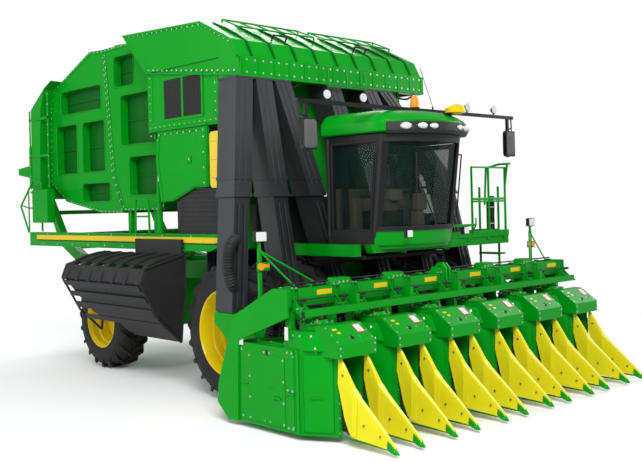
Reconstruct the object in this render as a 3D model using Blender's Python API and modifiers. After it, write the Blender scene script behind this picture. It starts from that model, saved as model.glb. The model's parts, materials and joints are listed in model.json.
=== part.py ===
"""Six-row cotton picker that builds round modules: one object for each sub-part.

Metres, +Z up.  X runs across the machine (+X is its left), Y runs back from the
tips of the stalk lifters, and the empty "machine" moves that zero to the middle
of the whole length.
"""

import math

import bmesh
import bpy
from mathutils import Matrix, Vector

# ---- driving sizes ---------------------------------------------------------
LENGTH = 10.90            # lifter tips to tail brackets
ROW_PITCH = 0.965         # 38 in rows
ROW_COUNT = 6
FIT = 0.0003              # gap between pieces that touch
SLIDE_FIT = 0.0006        # gap round a duct in its sleeve
RUNNING = 0.008           # gap between pieces that move past each other

# front wheels, in pairs that run between the rows
FRONT_AXLE_Y = 3.59
FRONT_RADIUS = 0.95
FRONT_RIM = 0.57
FRONT_WIDTH = 0.52
FRONT_INNER_X = 0.965
FRONT_OUTER_X = 1.93
FRONT_SIDES = 32
# rear wheels, steered
REAR_AXLE_Y = 7.41
REAR_RADIUS = 0.80
REAR_RIM = 0.43
REAR_WIDTH = 0.50
REAR_X = 1.71
REAR_SIDES = 28
KINGPIN_X = 1.34
KINGPIN_RADIUS = 0.08
RIM_WALL = 0.02

# chassis
RAIL_X = 0.50             # inner rails, centre line
RAIL_WIDTH = 0.12
RAIL_Z = (1.45, 1.75)
RAIL_Y = (3.46, 8.38)
SIDE_BEAM_X = (1.76, 1.90)
SIDE_BEAM_Z = (2.03, 2.28)
SIDE_BEAM_Y = (3.92, 10.15)
CAB_BEAM_Y = (2.15, 4.10)
CAB_BEAM_Z = (1.96, 2.12)

# header
UNIT_WIDTH = 0.87
THROAT = 0.35
UNIT_Y = (0.90, 2.42)
UNIT_Z = (0.07, 1.03)
TOOLBAR_Y = (1.47, 1.68)
TOOLBAR_Z = (1.50, 1.70)
LIFT_Y, LIFT_Z = 3.27, 1.28
ARM_X = (0.10, 0.20)

# ducts: one straight sheared box for each row, in two lengths
DUCT_WIDTH, DUCT_DEPTH, DUCT_WALL = 0.29, 0.40, 0.02
DUCT_LOW_Z, DUCT_SPLIT_Z, DUCT_KNEE_Z, DUCT_TOP_Z = 1.304, 2.80, 3.05, 4.4697
DUCT_LOW_Y, DUCT_TOP_Y = 2.92, 3.455      # front faces
DUCT_OVERLAP = 0.16
DUCT_KNEE_X = (-2.09, -1.475, -0.82, 0.13, 1.24, 2.22)
DUCT_TOP_X = (-1.84, -1.50, -1.16, -0.16, 0.62, 0.96)

# accumulator, module chamber and gate, as side outlines (y, z)
BIN_HALF = 1.88
BIN_Y = (3.97, 5.88)
BIN_Z = (2.85, 3.86, 4.79)                # floor, shoulder, rim
HOPPER_HALF = 1.30
HOOD_HALF = 1.90
HOOD_SIDE = ((3.45, 4.4703), (3.52, 4.77), (3.65, 5.01), (4.39, 5.37), (6.585, 5.49),
             (5.895, 4.7903), (3.97, 4.7903), (3.97, 4.4703))
CHAMBER_HALF = 1.60
CHAMBER_SIDE = ((5.91, 2.65), (5.91, 4.785), (6.60, 5.46), (7.72, 5.46), (7.47, 3.27),
                (7.15, 2.65))
GATE_SIDE = ((7.73, 5.46), (8.22, 5.49), (9.59, 4.97), (9.75, 4.60), (9.80, 3.20),
             (9.20, 2.84), (7.95, 2.63), (7.17, 2.61), (7.48, 3.27))
GATE_HINGE = (7.735, 5.53)
HINGE_EYE = 0.055         # radius of a gate hinge lug
WRAP_HALF = 1.82
SHEET = 0.04
FRAME_WALL = 0.16

# cab
CAB_Z = (2.1203, 3.60)
CAB_ROOF_Z = (3.6003, 3.93)
CAB_WALL = 0.05
CAB_REAR_Y = 2.88

COLOURS = {                # base colour, roughness, metallic
    "green": ((0.03, 0.16, 0.035), 0.35, 0.0),
    "yellow": ((0.85, 0.62, 0.02), 0.35, 0.0),
    "black": ((0.012, 0.012, 0.013), 0.5, 0.0),
    "grey": ((0.10, 0.11, 0.11), 0.5, 0.0),
    "rubber": ((0.02, 0.02, 0.021), 0.85, 0.0),
    "poly": ((0.80, 0.60, 0.05), 0.55, 0.0),
    "fabric": ((0.20, 0.19, 0.17), 0.9, 0.0),
}


# ---- scene -----------------------------------------------------------------
def clear_scene():
    for obj in list(bpy.data.objects):
        bpy.data.objects.remove(obj, do_unlink=True)


def new_collection(name):
    found = bpy.data.collections.new(name)
    bpy.context.scene.collection.children.link(found)
    return found


def new_material(name, colour, roughness, metallic):
    made = bpy.data.materials.new(name)
    made.use_nodes = True
    shader = made.node_tree.nodes["Principled BSDF"]
    shader.inputs["Base Color"].default_value = (*colour, 1.0)
    shader.inputs["Roughness"].default_value = roughness
    shader.inputs["Metallic"].default_value = metallic
    return made


clear_scene()
PARTS = new_collection("cotton_picker")
SHAPES = new_collection("cutters")
MATERIALS = {name: new_material(name, *look) for name, look in COLOURS.items()}


# ---- shapes ----------------------------------------------------------------
def shape_of(bm):
    """A helper object, in the cutters' collection, from a finished bmesh."""
    bmesh.ops.recalc_face_normals(bm, faces=bm.faces)
    mesh = bpy.data.meshes.new("shape")
    bm.to_mesh(mesh)
    bm.free()
    obj = bpy.data.objects.new("shape", mesh)
    obj.hide_render = True
    obj.display_type = "WIRE"
    SHAPES.objects.link(obj)
    return obj


def settled(source, matrix=None):
    """The evaluated shape of an object as a helper mesh, welded; the object goes."""
    graph = bpy.context.evaluated_depsgraph_get()
    mesh = bpy.data.meshes.new_from_object(source.evaluated_get(graph))
    bm = bmesh.new()
    bm.from_mesh(mesh)
    bpy.data.meshes.remove(mesh)
    bpy.data.objects.remove(source, do_unlink=True)
    bmesh.ops.remove_doubles(bm, verts=bm.verts, dist=0.00002)
    if matrix is not None:
        bmesh.ops.transform(bm, matrix=matrix, verts=bm.verts)
    return shape_of(bm)


def box(x, y, z):
    """A box from its (low, high) pairs."""
    spans = (x, y, z)
    size = Matrix.Diagonal([high - low for low, high in spans] + [1])
    middle = Matrix.Translation([(low + high) / 2 for low, high in spans])
    bm = bmesh.new()
    bmesh.ops.create_cube(bm, size=1, matrix=middle @ size)
    return shape_of(bm)


AXES = {
    "x": Matrix(((0, 0, 1, 0), (1, 0, 0, 0), (0, 1, 0, 0), (0, 0, 0, 1))),
    "y": Matrix(((1, 0, 0, 0), (0, 0, -1, 0), (0, 1, 0, 0), (0, 0, 0, 1))),
    "z": Matrix.Identity(4),
}
AXIS_INDEX = {"x": 0, "y": 1, "z": 2}


def cylinder(axis, centre, radius, span, sides=20, top_radius=None):
    """A cylinder or cone along an axis, from span[0] to span[1] on it."""
    middle = Vector(centre)
    middle[AXIS_INDEX[axis]] = sum(span) / 2
    bm = bmesh.new()
    turn = Matrix.Rotation(math.pi / sides, 4, "Z")
    bmesh.ops.create_cone(
        bm, cap_ends=True, segments=sides, radius1=radius,
        radius2=radius if top_radius is None else top_radius,
        depth=span[1] - span[0], matrix=Matrix.Translation(middle) @ AXES[axis] @ turn)
    return shape_of(bm)


def plate(outline, axis, span, holes=()):
    """A flat outline, with holes, thick along an axis.

    Outline points are (y, z) along x, (x, z) along y and (x, y) along z.
    """
    curve = bpy.data.curves.new("outline", "CURVE")
    curve.dimensions = "2D"
    curve.fill_mode = "BOTH"
    curve.extrude = (span[1] - span[0]) / 2
    for loop in (outline, *holes):
        spline = curve.splines.new("POLY")
        spline.points.add(len(loop) - 1)
        for point, (u, v) in zip(spline.points, loop):
            point.co = (u, v, 0, 1)
        spline.use_cyclic_u = True
    obj = bpy.data.objects.new("outline", curve)
    SHAPES.objects.link(obj)
    middle = Vector((0, 0, 0))
    middle[AXIS_INDEX[axis]] = sum(span) / 2
    return settled(obj, Matrix.Translation(middle) @ AXES[axis])


def tube(points, radius, sides=2):
    """A round bar along points, bent sharply at each."""
    curve = bpy.data.curves.new("bar", "CURVE")
    curve.dimensions = "3D"
    curve.bevel_depth = radius
    curve.bevel_resolution = sides
    curve.use_fill_caps = True
    spline = curve.splines.new("POLY")
    spline.points.add(len(points) - 1)
    for point, place in zip(spline.points, points):
        point.co = (*place, 1)
    obj = bpy.data.objects.new("bar", curve)
    SHAPES.objects.link(obj)
    return settled(obj)


def loft(sections):
    """A closed skin over level sections, each a like number of (x, y, z) points."""
    bm = bmesh.new()
    rings = [[bm.verts.new(point) for point in section] for section in sections]
    for low, high in zip(rings, rings[1:]):
        count = len(low)
        for i in range(count):
            j = (i + 1) % count
            bm.faces.new((low[i], low[j], high[j], high[i]))
    bm.faces.new(rings[0][::-1])
    bm.faces.new(rings[-1])
    bmesh.ops.triangulate(bm, faces=bm.faces)
    return shape_of(bm)


def turned(profile, sides, centre):
    """A closed (x, radius) profile turned about the X axis through centre.

    Each radius is that of the flats, so that a tyre stands on a flat.
    """
    flat = 1 / math.cos(math.pi / sides)
    mesh = bpy.data.meshes.new("profile")
    count = len(profile)
    mesh.from_pydata([(radius * flat, 0, x) for x, radius in profile],
                     [(i, (i + 1) % count) for i in range(count)], [])
    obj = bpy.data.objects.new("profile", mesh)
    SHAPES.objects.link(obj)
    screw = obj.modifiers.new("turn", "SCREW")
    screw.steps = screw.render_steps = sides
    screw.use_merge_vertices = True
    screw.merge_threshold = 0.0001
    axle = Matrix.Rotation(math.pi / 2, 4, "Y") @ Matrix.Rotation(math.pi / sides, 4, "Z")
    return settled(obj, Matrix.Translation(centre) @ axle)


def combine(shapes, operation, solver="EXACT"):
    base, *others = shapes
    for other in others:
        step = base.modifiers.new(operation.lower(), "BOOLEAN")
        step.operation = operation
        step.solver = solver
        step.object = other
    result = settled(base)
    for other in others:
        bpy.data.objects.remove(other, do_unlink=True)
    return result


def join(*shapes):
    return combine(shapes, "UNION")


def cut(shape, *cutters):
    return combine((shape, *cutters), "DIFFERENCE")


def both(make):
    """The same shape on both sides: make(side) with side -1 and +1."""
    return [make(-1), make(1)]


def span(side, low, high):
    """A (low, high) pair on one side of the middle."""
    return (low, high) if side > 0 else (-high, -low)


def inset(outline, wall):
    """The outline moved inwards by a wall, corner by corner."""
    area = sum(a[0] * b[1] - b[0] * a[1] for a, b in zip(outline, outline[1:] + outline[:1]))
    turn = 1 if area > 0 else -1
    moved = []
    for i, point in enumerate(outline):
        before = Vector(point) - Vector(outline[i - 1])
        after = Vector(outline[(i + 1) % len(outline)]) - Vector(point)
        first = Vector((-before.y, before.x)).normalized() * turn
        second = Vector((-after.y, after.x)).normalized() * turn
        corner = (first + second) / (1 + first.dot(second))
        moved.append(tuple(Vector(point) + corner * wall))
    return tuple(moved)


def rounded(low, high, radius, steps=3):
    """A rectangle from low to high with round corners, as an outline."""
    points = []
    corners = ((high[0] - radius, high[1] - radius), (low[0] + radius, high[1] - radius),
               (low[0] + radius, low[1] + radius), (high[0] - radius, low[1] + radius))
    for quarter, (u, v) in enumerate(corners):
        for step in range(steps + 1):
            angle = (quarter + step / steps) * math.pi / 2
            points.append((u + radius * math.cos(angle), v + radius * math.sin(angle)))
    return tuple(points)


# ---- bodies and parts ------------------------------------------------------
def new_body(name, place, parent=None):
    """An empty on a body's joint axis; its place is in the machine's own frame."""
    empty = bpy.data.objects.new(name, None)
    empty.empty_display_size = 0.2
    PARTS.objects.link(empty)
    if parent:
        empty.parent = parent
        empty.location = Vector(place) - Vector(parent["place"])
    else:
        empty.location = place
    empty["place"] = place
    return empty


MACHINE = new_body("machine", (0, -LENGTH / 2, 0))
MACHINE["place"] = (0, 0, 0)


def part(name, shape, colour, body=MACHINE):
    """Names a finished shape and hangs it on its body."""
    shape.name = shape.data.name = name
    shape.data.materials.clear()
    shape.data.materials.append(MATERIALS[colour])
    SHAPES.objects.unlink(shape)
    PARTS.objects.link(shape)
    shape.hide_render = False
    shape.display_type = "TEXTURED"
    shape.parent = body
    shape.location = -Vector(body["place"])
    return shape


def row_x(row):
    return (row - (ROW_COUNT - 1) / 2) * ROW_PITCH


# ---- chassis and axles -----------------------------------------------------
def make_chassis():
    rail = (RAIL_X - RAIL_WIDTH / 2, RAIL_X + RAIL_WIDTH / 2)
    beam_y, beam_z = SIDE_BEAM_Y, SIDE_BEAM_Z
    tip = ((beam_y[0], 2.15), (4.30, beam_z[0]), (beam_y[1], beam_z[0]),
           (beam_y[1], beam_z[1]), (4.05, beam_z[1]))
    shapes = []
    shapes += both(lambda s: box(span(s, *rail), RAIL_Y, RAIL_Z))
    shapes += both(lambda s: plate(tip, "x", span(s, *SIDE_BEAM_X)))
    across = (-SIDE_BEAM_X[0] - 0.02, SIDE_BEAM_X[0] + 0.02)
    for y in (4.02, 5.70, 8.22, 9.00):
        shapes.append(box(across, (y, y + 0.14), (2.05, 2.26)))
    for y in (4.04, 5.72, 8.24):
        shapes += both(lambda s: box(span(s, rail[0] + 0.01, rail[1] - 0.01),
                                     (y, y + 0.10), (1.70, 2.10)))
    # posts up to the accumulator's shoulder and under the chamber
    for y in (4.04, 5.72):
        shapes += both(lambda s: box(span(s, 1.32, 1.40), (y, y + 0.10),
                                     (2.20, BIN_Z[1] - 0.005 - FIT)))
    for y in (6.20, 7.00):
        shapes += both(lambda s: box(span(s, 1.46, 1.56), (y, y + 0.10), (2.10, 2.65 - FIT)))
        shapes += both(lambda s: box(span(s, 1.44, 1.80), (y - 0.01, y + 0.11), (2.06, 2.25)))
    # forward beams under the cab and its platform
    for x in (-1.02, -0.10, 0.84):
        shapes.append(box((x - 0.06, x + 0.06), CAB_BEAM_Y, CAB_BEAM_Z))
    # cross member and lugs that carry the module handler
    shapes.append(box((-1.30, 1.30), (8.24, 8.36), (1.50, 1.72)))
    shapes += both(lambda s: plate(((8.26, 1.52), (8.62, 1.54), (8.62, 1.66), (8.26, 1.70)),
                                   "x", span(s, 1.22 + FIT, 1.28)))
    return part("chassis_frame", join(*shapes), "green")


def make_front_axle():
    y, z = FRONT_AXLE_Y, FRONT_RADIUS
    shapes = [box((-0.64, 0.64), (y - 0.13, y + 0.13), (1.16, RAIL_Z[0] - FIT))]
    shapes += both(lambda s: box(span(s, 0.40, 0.64), (y - 0.16, y + 0.16), (0.85, 1.30)))
    shapes += both(lambda s: cylinder("x", (0, y, z), 0.30, span(s, 0.38, 0.68)))
    hub_end = FRONT_INNER_X + 0.20 - FIT
    shapes += both(lambda s: cylinder("x", (0, y, z), 0.22, span(s, 0.60, hub_end)))
    # clevis plates on both sides of each lift arm
    for low, high in ((ARM_X[0] - 0.03, ARM_X[0] - FIT), (ARM_X[1] + FIT, ARM_X[1] + 0.03)):
        lug = ((LIFT_Y - 0.06, LIFT_Z - 0.06), (LIFT_Y - 0.06, LIFT_Z + 0.06),
               (y, LIFT_Z + 0.10), (y, LIFT_Z - 0.10))
        shapes += both(lambda s: plate(lug, "x", span(s, low, high)))
    return part("front_axle", join(*shapes), "green")


def make_rear_axle():
    y, z = REAR_AXLE_Y, REAR_RADIUS
    shapes = [box((-1.20, 1.20), (y - 0.14, y + 0.14), (z - 0.22, z + 0.22)),
              box((-0.58, 0.58), (y - 0.20, y + 0.20), (z + 0.10, RAIL_Z[0] - FIT))]
    for low, high in ((z - 0.22, z - 0.16), (z + 0.16, z + 0.22)):
        shapes += both(lambda s: box(span(s, 1.15, KINGPIN_X + KINGPIN_RADIUS),
                                     (y - KINGPIN_RADIUS, y + KINGPIN_RADIUS), (low, high)))
    return part("rear_axle", join(*shapes), "green")


def make_engine():
    part("engine_block", box((-0.60, 0.60), (4.35, 5.60), (RAIL_Z[1] + FIT, 2.70)), "grey")


# ---- wheels ----------------------------------------------------------------
def tyre_profile(x, width, radius, rim):
    """A solid ring: bead, bulged side wall, shoulder and flat tread, about x."""
    half = width / 2
    bead = rim + FIT
    side = ((half - 0.05, bead), (half - 0.01, bead + 0.06), (half, (radius + bead) / 2),
            (half - 0.02, radius - 0.07), (half - 0.06, radius))
    return ([(x + u, r) for u, r in side] + [(x - u, r) for u, r in reversed(side)])


def make_front_wheels(side, name):
    body = new_body("front_hub_" + name, (side * FRONT_INNER_X, FRONT_AXLE_Y, FRONT_RADIUS),
                    MACHINE)
    centre = (0, FRONT_AXLE_Y, FRONT_RADIUS)
    for x, place in ((FRONT_INNER_X, "inner"), (FRONT_OUTER_X, "outer")):
        profile = tyre_profile(side * x, FRONT_WIDTH, FRONT_RADIUS, FRONT_RIM)
        part(f"front_tyre_{name}_{place}", turned(profile, FRONT_SIDES, centre), "rubber", body)
    rim, wall, spacer = FRONT_RIM, RIM_WALL, 0.28
    inner = FRONT_INNER_X + 0.20              # disc of the inner wheel
    outer = FRONT_OUTER_X - 0.16              # disc of the outer wheel
    half = FRONT_WIDTH / 2 - 0.03
    # both barrels, both discs and the spacer between them, round one loop
    loop = ((FRONT_INNER_X - half, rim), (FRONT_INNER_X + half, rim),
            (FRONT_INNER_X + half, rim - wall), (inner + wall, rim - wall),
            (inner + wall, spacer), (outer, spacer), (outer, rim - wall),
            (FRONT_OUTER_X - half, rim - wall), (FRONT_OUTER_X - half, rim),
            (FRONT_OUTER_X + half, rim), (FRONT_OUTER_X + half, rim - wall),
            (outer + wall, rim - wall), (outer + wall, 0.10), (outer, 0.10),
            (outer, spacer - wall), (inner + wall, spacer - wall), (inner + wall, 0.14),
            (inner, 0.14), (inner, rim - wall), (FRONT_INNER_X - half, rim - wall))
    shape = turned([(side * x, r) for x, r in loop], FRONT_SIDES, centre)
    part("front_rim_" + name, shape, "yellow", body)


def make_rear_wheel(side, name):
    y, z = REAR_AXLE_Y, REAR_RADIUS
    knuckle = new_body("rear_steer_" + name, (side * KINGPIN_X, y, z), MACHINE)
    spindle_end = REAR_X - 0.10
    shapes = (cylinder("z", (side * KINGPIN_X, y, 0), KINGPIN_RADIUS,
                       (z - 0.16 + FIT, z + 0.16 - FIT)),
              cylinder("x", (0, y, z), 0.10, span(side, KINGPIN_X, spindle_end - FIT)))
    part("rear_knuckle_" + name, join(*shapes), "green", knuckle)
    wheel = new_body("rear_hub_" + name, (side * REAR_X, y, z), knuckle)
    profile = tyre_profile(side * REAR_X, REAR_WIDTH, REAR_RADIUS, REAR_RIM)
    part("rear_tyre_" + name, turned(profile, REAR_SIDES, (0, y, z)), "rubber", wheel)
    rim, wall, half = REAR_RIM, RIM_WALL, REAR_WIDTH / 2 - 0.03
    loop = ((REAR_X - half, rim), (REAR_X + half, rim), (REAR_X + half, rim - wall),
            (spindle_end + wall, rim - wall), (spindle_end + wall, 0.05), (spindle_end, 0.05),
            (spindle_end, rim - wall), (REAR_X - half, rim - wall))
    shape = turned([(side * x, r) for x, r in loop], REAR_SIDES, (0, y, z))
    part("rear_rim_" + name, shape, "yellow", wheel)


# ---- header ----------------------------------------------------------------
def make_toolbar(header):
    half = row_x(ROW_COUNT - 1) + UNIT_WIDTH / 2 + FIT
    end = ((1.70, 1.71), (1.45, 1.71), (1.44, 1.39), (2.38, 1.05), (2.42, 0.07),
           (2.61, 0.06), (2.83, 0.25), (2.80, 0.49), (2.47, 1.34))
    arm = ((1.60, 1.54), (2.60, 1.28), (LIFT_Y - 0.06, LIFT_Z - 0.08), (LIFT_Y + 0.05, LIFT_Z - 0.06),
           (LIFT_Y + 0.05, LIFT_Z + 0.06), (LIFT_Y - 0.06, LIFT_Z + 0.08), (2.60, 1.50),
           (1.60, 1.66))
    bracket = ((0.16, 1.68), (-0.16, 1.68), (-0.11, 1.78), (0.11, 1.78))
    shapes = [box((-half - 0.01, half + 0.01), TOOLBAR_Y, TOOLBAR_Z),
              box((-half + 0.05, half - 0.05), (1.22, 1.30), (1.40, 1.48))]
    shapes += both(lambda s: plate(end, "x", span(s, half, half + 0.025)))
    shapes += both(lambda s: plate(arm, "x", span(s, *ARM_X)))
    for gap in range(1, ROW_COUNT):
        x = row_x(gap) - ROW_PITCH / 2
        shapes.append(plate([(x + u, v) for u, v in bracket], "y", (1.50, 1.65)))
        shapes.append(box((x - 0.03, x + 0.03), (1.25, 1.55), (1.42, 1.60)))
    return part("header_toolbar", join(*shapes), "green", header)


def make_row_unit(row, header):
    x = row_x(row)
    half, throat = UNIT_WIDTH / 2, THROAT / 2
    (front, rear), (low, top) = UNIT_Y, UNIT_Z
    plan = ((throat, front), (throat + 0.025, front), (half, front + 0.43), (half, rear),
            (throat, rear))
    shapes = both(lambda s: plate([(x + s * u, v) for u, v in plan], "z", (low, top)))
    shapes.append(box((x - half + 0.10, x + half - 0.10), (front + 0.20, rear - 0.01),
                      (top - 0.06, top + 0.01)))
    nose = ((0.80, 0.97), (0.80, 1.12), (1.05, 1.29), (1.15, 1.29), (1.15, 0.97))
    shapes.append(plate(nose, "x", (x - 0.29, x + 0.29)))
    shapes.append(cylinder("z", (x - 0.09, 1.37, 0), 0.20, (top - 0.02, 1.30)))
    for post in (x - 0.36, x + 0.30):
        shapes.append(box((post, post + 0.06), (1.50, 1.60), (top - 0.03, TOOLBAR_Z[0] - FIT)))
    # discharge elbow at the back, up to the duct's mouth
    mouth = DUCT_LOW_Y + DUCT_DEPTH
    elbow = ((rear - 0.03, 0.80), (rear - 0.03, 1.02), (DUCT_LOW_Y, DUCT_LOW_Z - RUNNING),
             (mouth - 0.02, DUCT_LOW_Z - RUNNING), (mouth - 0.02, 1.16), (2.95, 0.90))
    shapes.append(plate(elbow, "x", (x - DUCT_WIDTH / 2, x + DUCT_WIDTH / 2)))
    part(f"row_unit_{row + 1}", join(*shapes), "green", header)


def make_lifters(row, header):
    x = row_x(row)
    back = UNIT_Y[0] - FIT
    side = ((0.0, 0.09), (0.70, 0.13), (0.80, 0.34), (back, 0.70), (back, 0.965),
            (0.85, 0.965), (0.67, 0.64), (0.02, 0.115))
    shapes = both(lambda s: plate(side, "x", (x + s * 0.20 - 0.025, x + s * 0.20 + 0.025)))
    shapes.append(box((x - 0.19, x + 0.19), (0.855, back - 0.005), (0.90, 0.96)))
    part(f"stalk_lifters_{row + 1}", join(*shapes), "yellow", header)


# ---- ducts -----------------------------------------------------------------
def duct_front(row, z):
    """Middle of a duct's front face at a height: (x, y).  Ducts bend only at the knee."""
    knee = DUCT_KNEE_X[row]
    if z <= DUCT_KNEE_Z:
        t = (z - DUCT_LOW_Z) / (DUCT_KNEE_Z - DUCT_LOW_Z)
        x = row_x(row) + (knee - row_x(row)) * t
    else:
        x = knee + (DUCT_TOP_X[row] - knee) * (z - DUCT_KNEE_Z) / (DUCT_TOP_Z - DUCT_KNEE_Z)
    return x, DUCT_LOW_Y + (DUCT_TOP_Y - DUCT_LOW_Y) * (z - DUCT_LOW_Z) / (DUCT_TOP_Z - DUCT_LOW_Z)


def duct_prism(row, low, high, shrink):
    """A sheared box along a duct's line, its sides moved in by shrink."""
    sections = []
    for z in [low] + [DUCT_KNEE_Z] * (low < DUCT_KNEE_Z < high) + [high]:
        x, y = duct_front(row, z)
        u = DUCT_WIDTH / 2 - shrink
        y0, y1 = y + shrink, y + DUCT_DEPTH - shrink
        sections.append([(x - u, y0, z), (x + u, y0, z), (x + u, y1, z), (x - u, y1, z)])
    return loft(sections)


def make_upper_ducts(name, rows):
    """Three ducts that hang from one flange under the hood."""
    split, top, wall = DUCT_SPLIT_Z, DUCT_TOP_Z, DUCT_WALL
    centres = [DUCT_TOP_X[row] for row in rows]
    edge = DUCT_WIDTH / 2 + 0.01
    flange = box((min(centres) - edge, max(centres) + edge),
                 (DUCT_TOP_Y - 0.01, DUCT_TOP_Y + DUCT_DEPTH + 0.01), (top - 0.03, top))
    tubes = join(flange, *[duct_prism(row, split, top - 0.005, 0) for row in rows])
    bores = [duct_prism(row, split - 0.1, top + 0.1, wall) for row in rows]
    part("upper_ducts_" + name, cut(tubes, *bores), "grey")


def make_lower_duct(row):
    low, split, wall = DUCT_LOW_Z, DUCT_SPLIT_Z, DUCT_WALL
    x, y = duct_front(row, low)
    body = new_body(f"lower_duct_{row + 1}_slide", (x, y + DUCT_DEPTH / 2, low), MACHINE)
    skin = wall + SLIDE_FIT
    lower = cut(duct_prism(row, low, split + DUCT_OVERLAP, skin),
                duct_prism(row, low - 0.1, split + DUCT_OVERLAP + 0.1, skin + wall))
    part(f"lower_duct_{row + 1}", lower, "grey", body)


# ---- accumulator and chamber -----------------------------------------------
def make_accumulator():
    floor, shoulder, rim = BIN_Z
    outer = ((-BIN_HALF, rim), (-BIN_HALF, shoulder), (-HOPPER_HALF, shoulder - 0.005),
             (-HOPPER_HALF, floor), (HOPPER_HALF, floor), (HOPPER_HALF, shoulder - 0.005),
             (BIN_HALF, shoulder), (BIN_HALF, rim))
    inner = inset(outer, SHEET)
    inner = (((inner[0][0], rim + 0.1),) + inner[1:-1] + ((inner[-1][0], rim + 0.1),))
    tub = plate(outer, "y", BIN_Y)
    hollow = plate(inner, "y", (BIN_Y[0] + SHEET, BIN_Y[1] - SHEET))
    outlet = box((-1.20, 1.20), (BIN_Y[1] - 0.2, BIN_Y[1] + 0.2), (2.95, 3.55))
    part("accumulator_body", cut(tub, hollow, outlet), "green")


def make_hood():
    body = plate(HOOD_SIDE, "x", (-HOOD_HALF, HOOD_HALF))
    hollow = plate(inset(HOOD_SIDE, SHEET), "x", (-HOOD_HALF + SHEET, HOOD_HALF - SHEET))
    across = (-HOOD_HALF + SHEET + 0.01, HOOD_HALF - SHEET - 0.01)
    mouth = box(across, (3.52, 3.92), (4.30, 4.60))
    opening = box(across, (3.85, 5.80), (4.60, 4.90))
    part("accumulator_hood", cut(body, hollow, mouth, opening), "green")


def make_side_pieces():
    top = BIN_Z[1] - 0.0008
    panel = ((5.62, top), (4.32, top), (4.32, 2.97), (4.65, 2.97),
             (5.22, 2.78), (5.57, 2.77), (5.69, 3.43))
    part("service_panel", plate(panel, "x", (-1.88, -1.84)), "green")
    for side, name in ((-1, "right"), (1, "left")):
        tank = plate(rounded((3.98, SIDE_BEAM_Z[1] + FIT), (5.20, 2.95), 0.05), "x",
                     span(side, 1.43, 1.83))
        part("side_tank_" + name, tank, "black")
    tank = plate(rounded((3.94, 2.95 + FIT), (4.29, BIN_Z[1] - FIT - 0.1), 0.06), "x",
                 (-1.86, -1.45))
    part("water_tank", tank, "poly")


def make_chamber():
    half, wall = CHAMBER_HALF, FRAME_WALL
    shell = plate(CHAMBER_SIDE, "x", (-half, half))
    hollow = plate(inset(CHAMBER_SIDE, 0.08), "x", (-half + wall, half - wall))
    rear = plate(((7.62, 5.37), (7.9, 5.37), (7.9, 2.74), (7.08, 2.74), (7.37, 3.30)), "x",
                 (-half + wall, half - wall))
    inlet = box((-1.20, 1.20), (5.7, 6.2), (2.95, 3.55))
    windows = [plate(rounded(low, high, 0.10), "x", (-half - 0.1, half + 0.1))
               for low, high in (((6.10, 2.90), (6.95, 3.55)), ((6.10, 3.75), (7.20, 4.60)),
                                 ((6.75, 4.75), (7.40, 5.28)))]
    turn = [math.radians(angle) for angle in range(-110, 91, 25)]
    eye = [(GATE_HINGE[0] + HINGE_EYE * math.cos(a), GATE_HINGE[1] + HINGE_EYE * math.sin(a))
           for a in turn]
    lug = [(7.58, 5.40), (7.70, 5.44), *eye, (7.69, 5.585)]
    lugs = both(lambda s: plate(lug, "x", span(s, 1.20, 1.28)))
    shell = join(cut(shell, hollow, rear, inlet, *windows), *lugs)
    part("module_chamber", shell, "green")


def make_gate():
    gate = new_body("chamber_gate_hinge", (0, *GATE_HINGE), MACHINE)
    half, wall = CHAMBER_HALF, FRAME_WALL
    shell = plate([(y + (RUNNING if y < 7.8 else 0), z) for y, z in GATE_SIDE], "x",
                  (-half, half))
    hollow = plate(inset(GATE_SIDE, 0.08), "x", (-half + wall, half - wall))
    front = plate(((7.9, 5.34), (7.4, 5.34), (7.1, 3.2), (6.9, 2.69), (7.9, 2.72)), "x",
                  (-half + wall, half - wall))
    windows = [plate(rounded(low, high, 0.10), "x", (-half - 0.1, half + 0.1))
               for low, high in (((7.85, 4.45), (9.35, 4.88)), ((7.75, 3.35), (8.55, 4.25)),
                                 ((8.75, 3.35), (9.55, 4.25)), ((7.60, 2.82), (8.60, 3.15)))]
    shell = cut(shell, hollow, front, *windows)
    knuckles = both(lambda s: plate(((7.80, 5.40), (7.92, 5.40), (7.80, 5.57), (7.68, 5.57),
                                     (7.68, 5.49), (7.79, 5.49)), "x",
                                    span(s, 1.28 + FIT, 1.34)))
    part("chamber_gate", join(shell, *knuckles), "green", gate)
    housing = plate(((9.3, 5.09), (10.16, 4.62), (10.17, 3.93), (10.28, 3.90), (10.28, 3.20),
                     (9.88, 2.90), (9.83, 3.0), (9.80 + FIT, 3.88), (9.75 + FIT, 4.60),
                     (9.59 + FIT, 4.975)), "x", (-WRAP_HALF, WRAP_HALF))
    brackets = both(lambda s: plate(((10.20, 3.30), (10.20, 3.58), (LENGTH, 3.52),
                                     (LENGTH, 3.40)), "x", span(s, 1.72, 1.76)))
    part("wrap_housing", combine([housing, *brackets], "UNION", "MANIFOLD"), "green", gate)


def make_handler():
    y, z = 8.54, 1.60
    body = new_body("module_handler_hinge", (0, y, z), MACHINE)
    arm = ((8.48, 1.54), (9.50, 1.64), (10.30, 2.02), (10.86, 2.90), (10.78, 2.94),
           (10.22, 2.20), (9.45, 1.84), (8.48, 1.68))
    shapes = both(lambda s: plate(arm, "x", span(s, 1.08, 1.22)))
    shapes.append(box((-1.10, 1.10), (8.49, 8.59), (1.55, 1.65)))
    for low, high in (((9.20, 1.66), (9.45, 1.74)), ((9.95, 1.92), (10.15, 2.02)),
                      ((10.60, 2.60), (10.70, 2.68))):
        shapes.append(box((-1.10, 1.10), (low[0], high[0]), (low[1], high[1])))
    part("module_handler", join(*shapes), "green", body)


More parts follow.
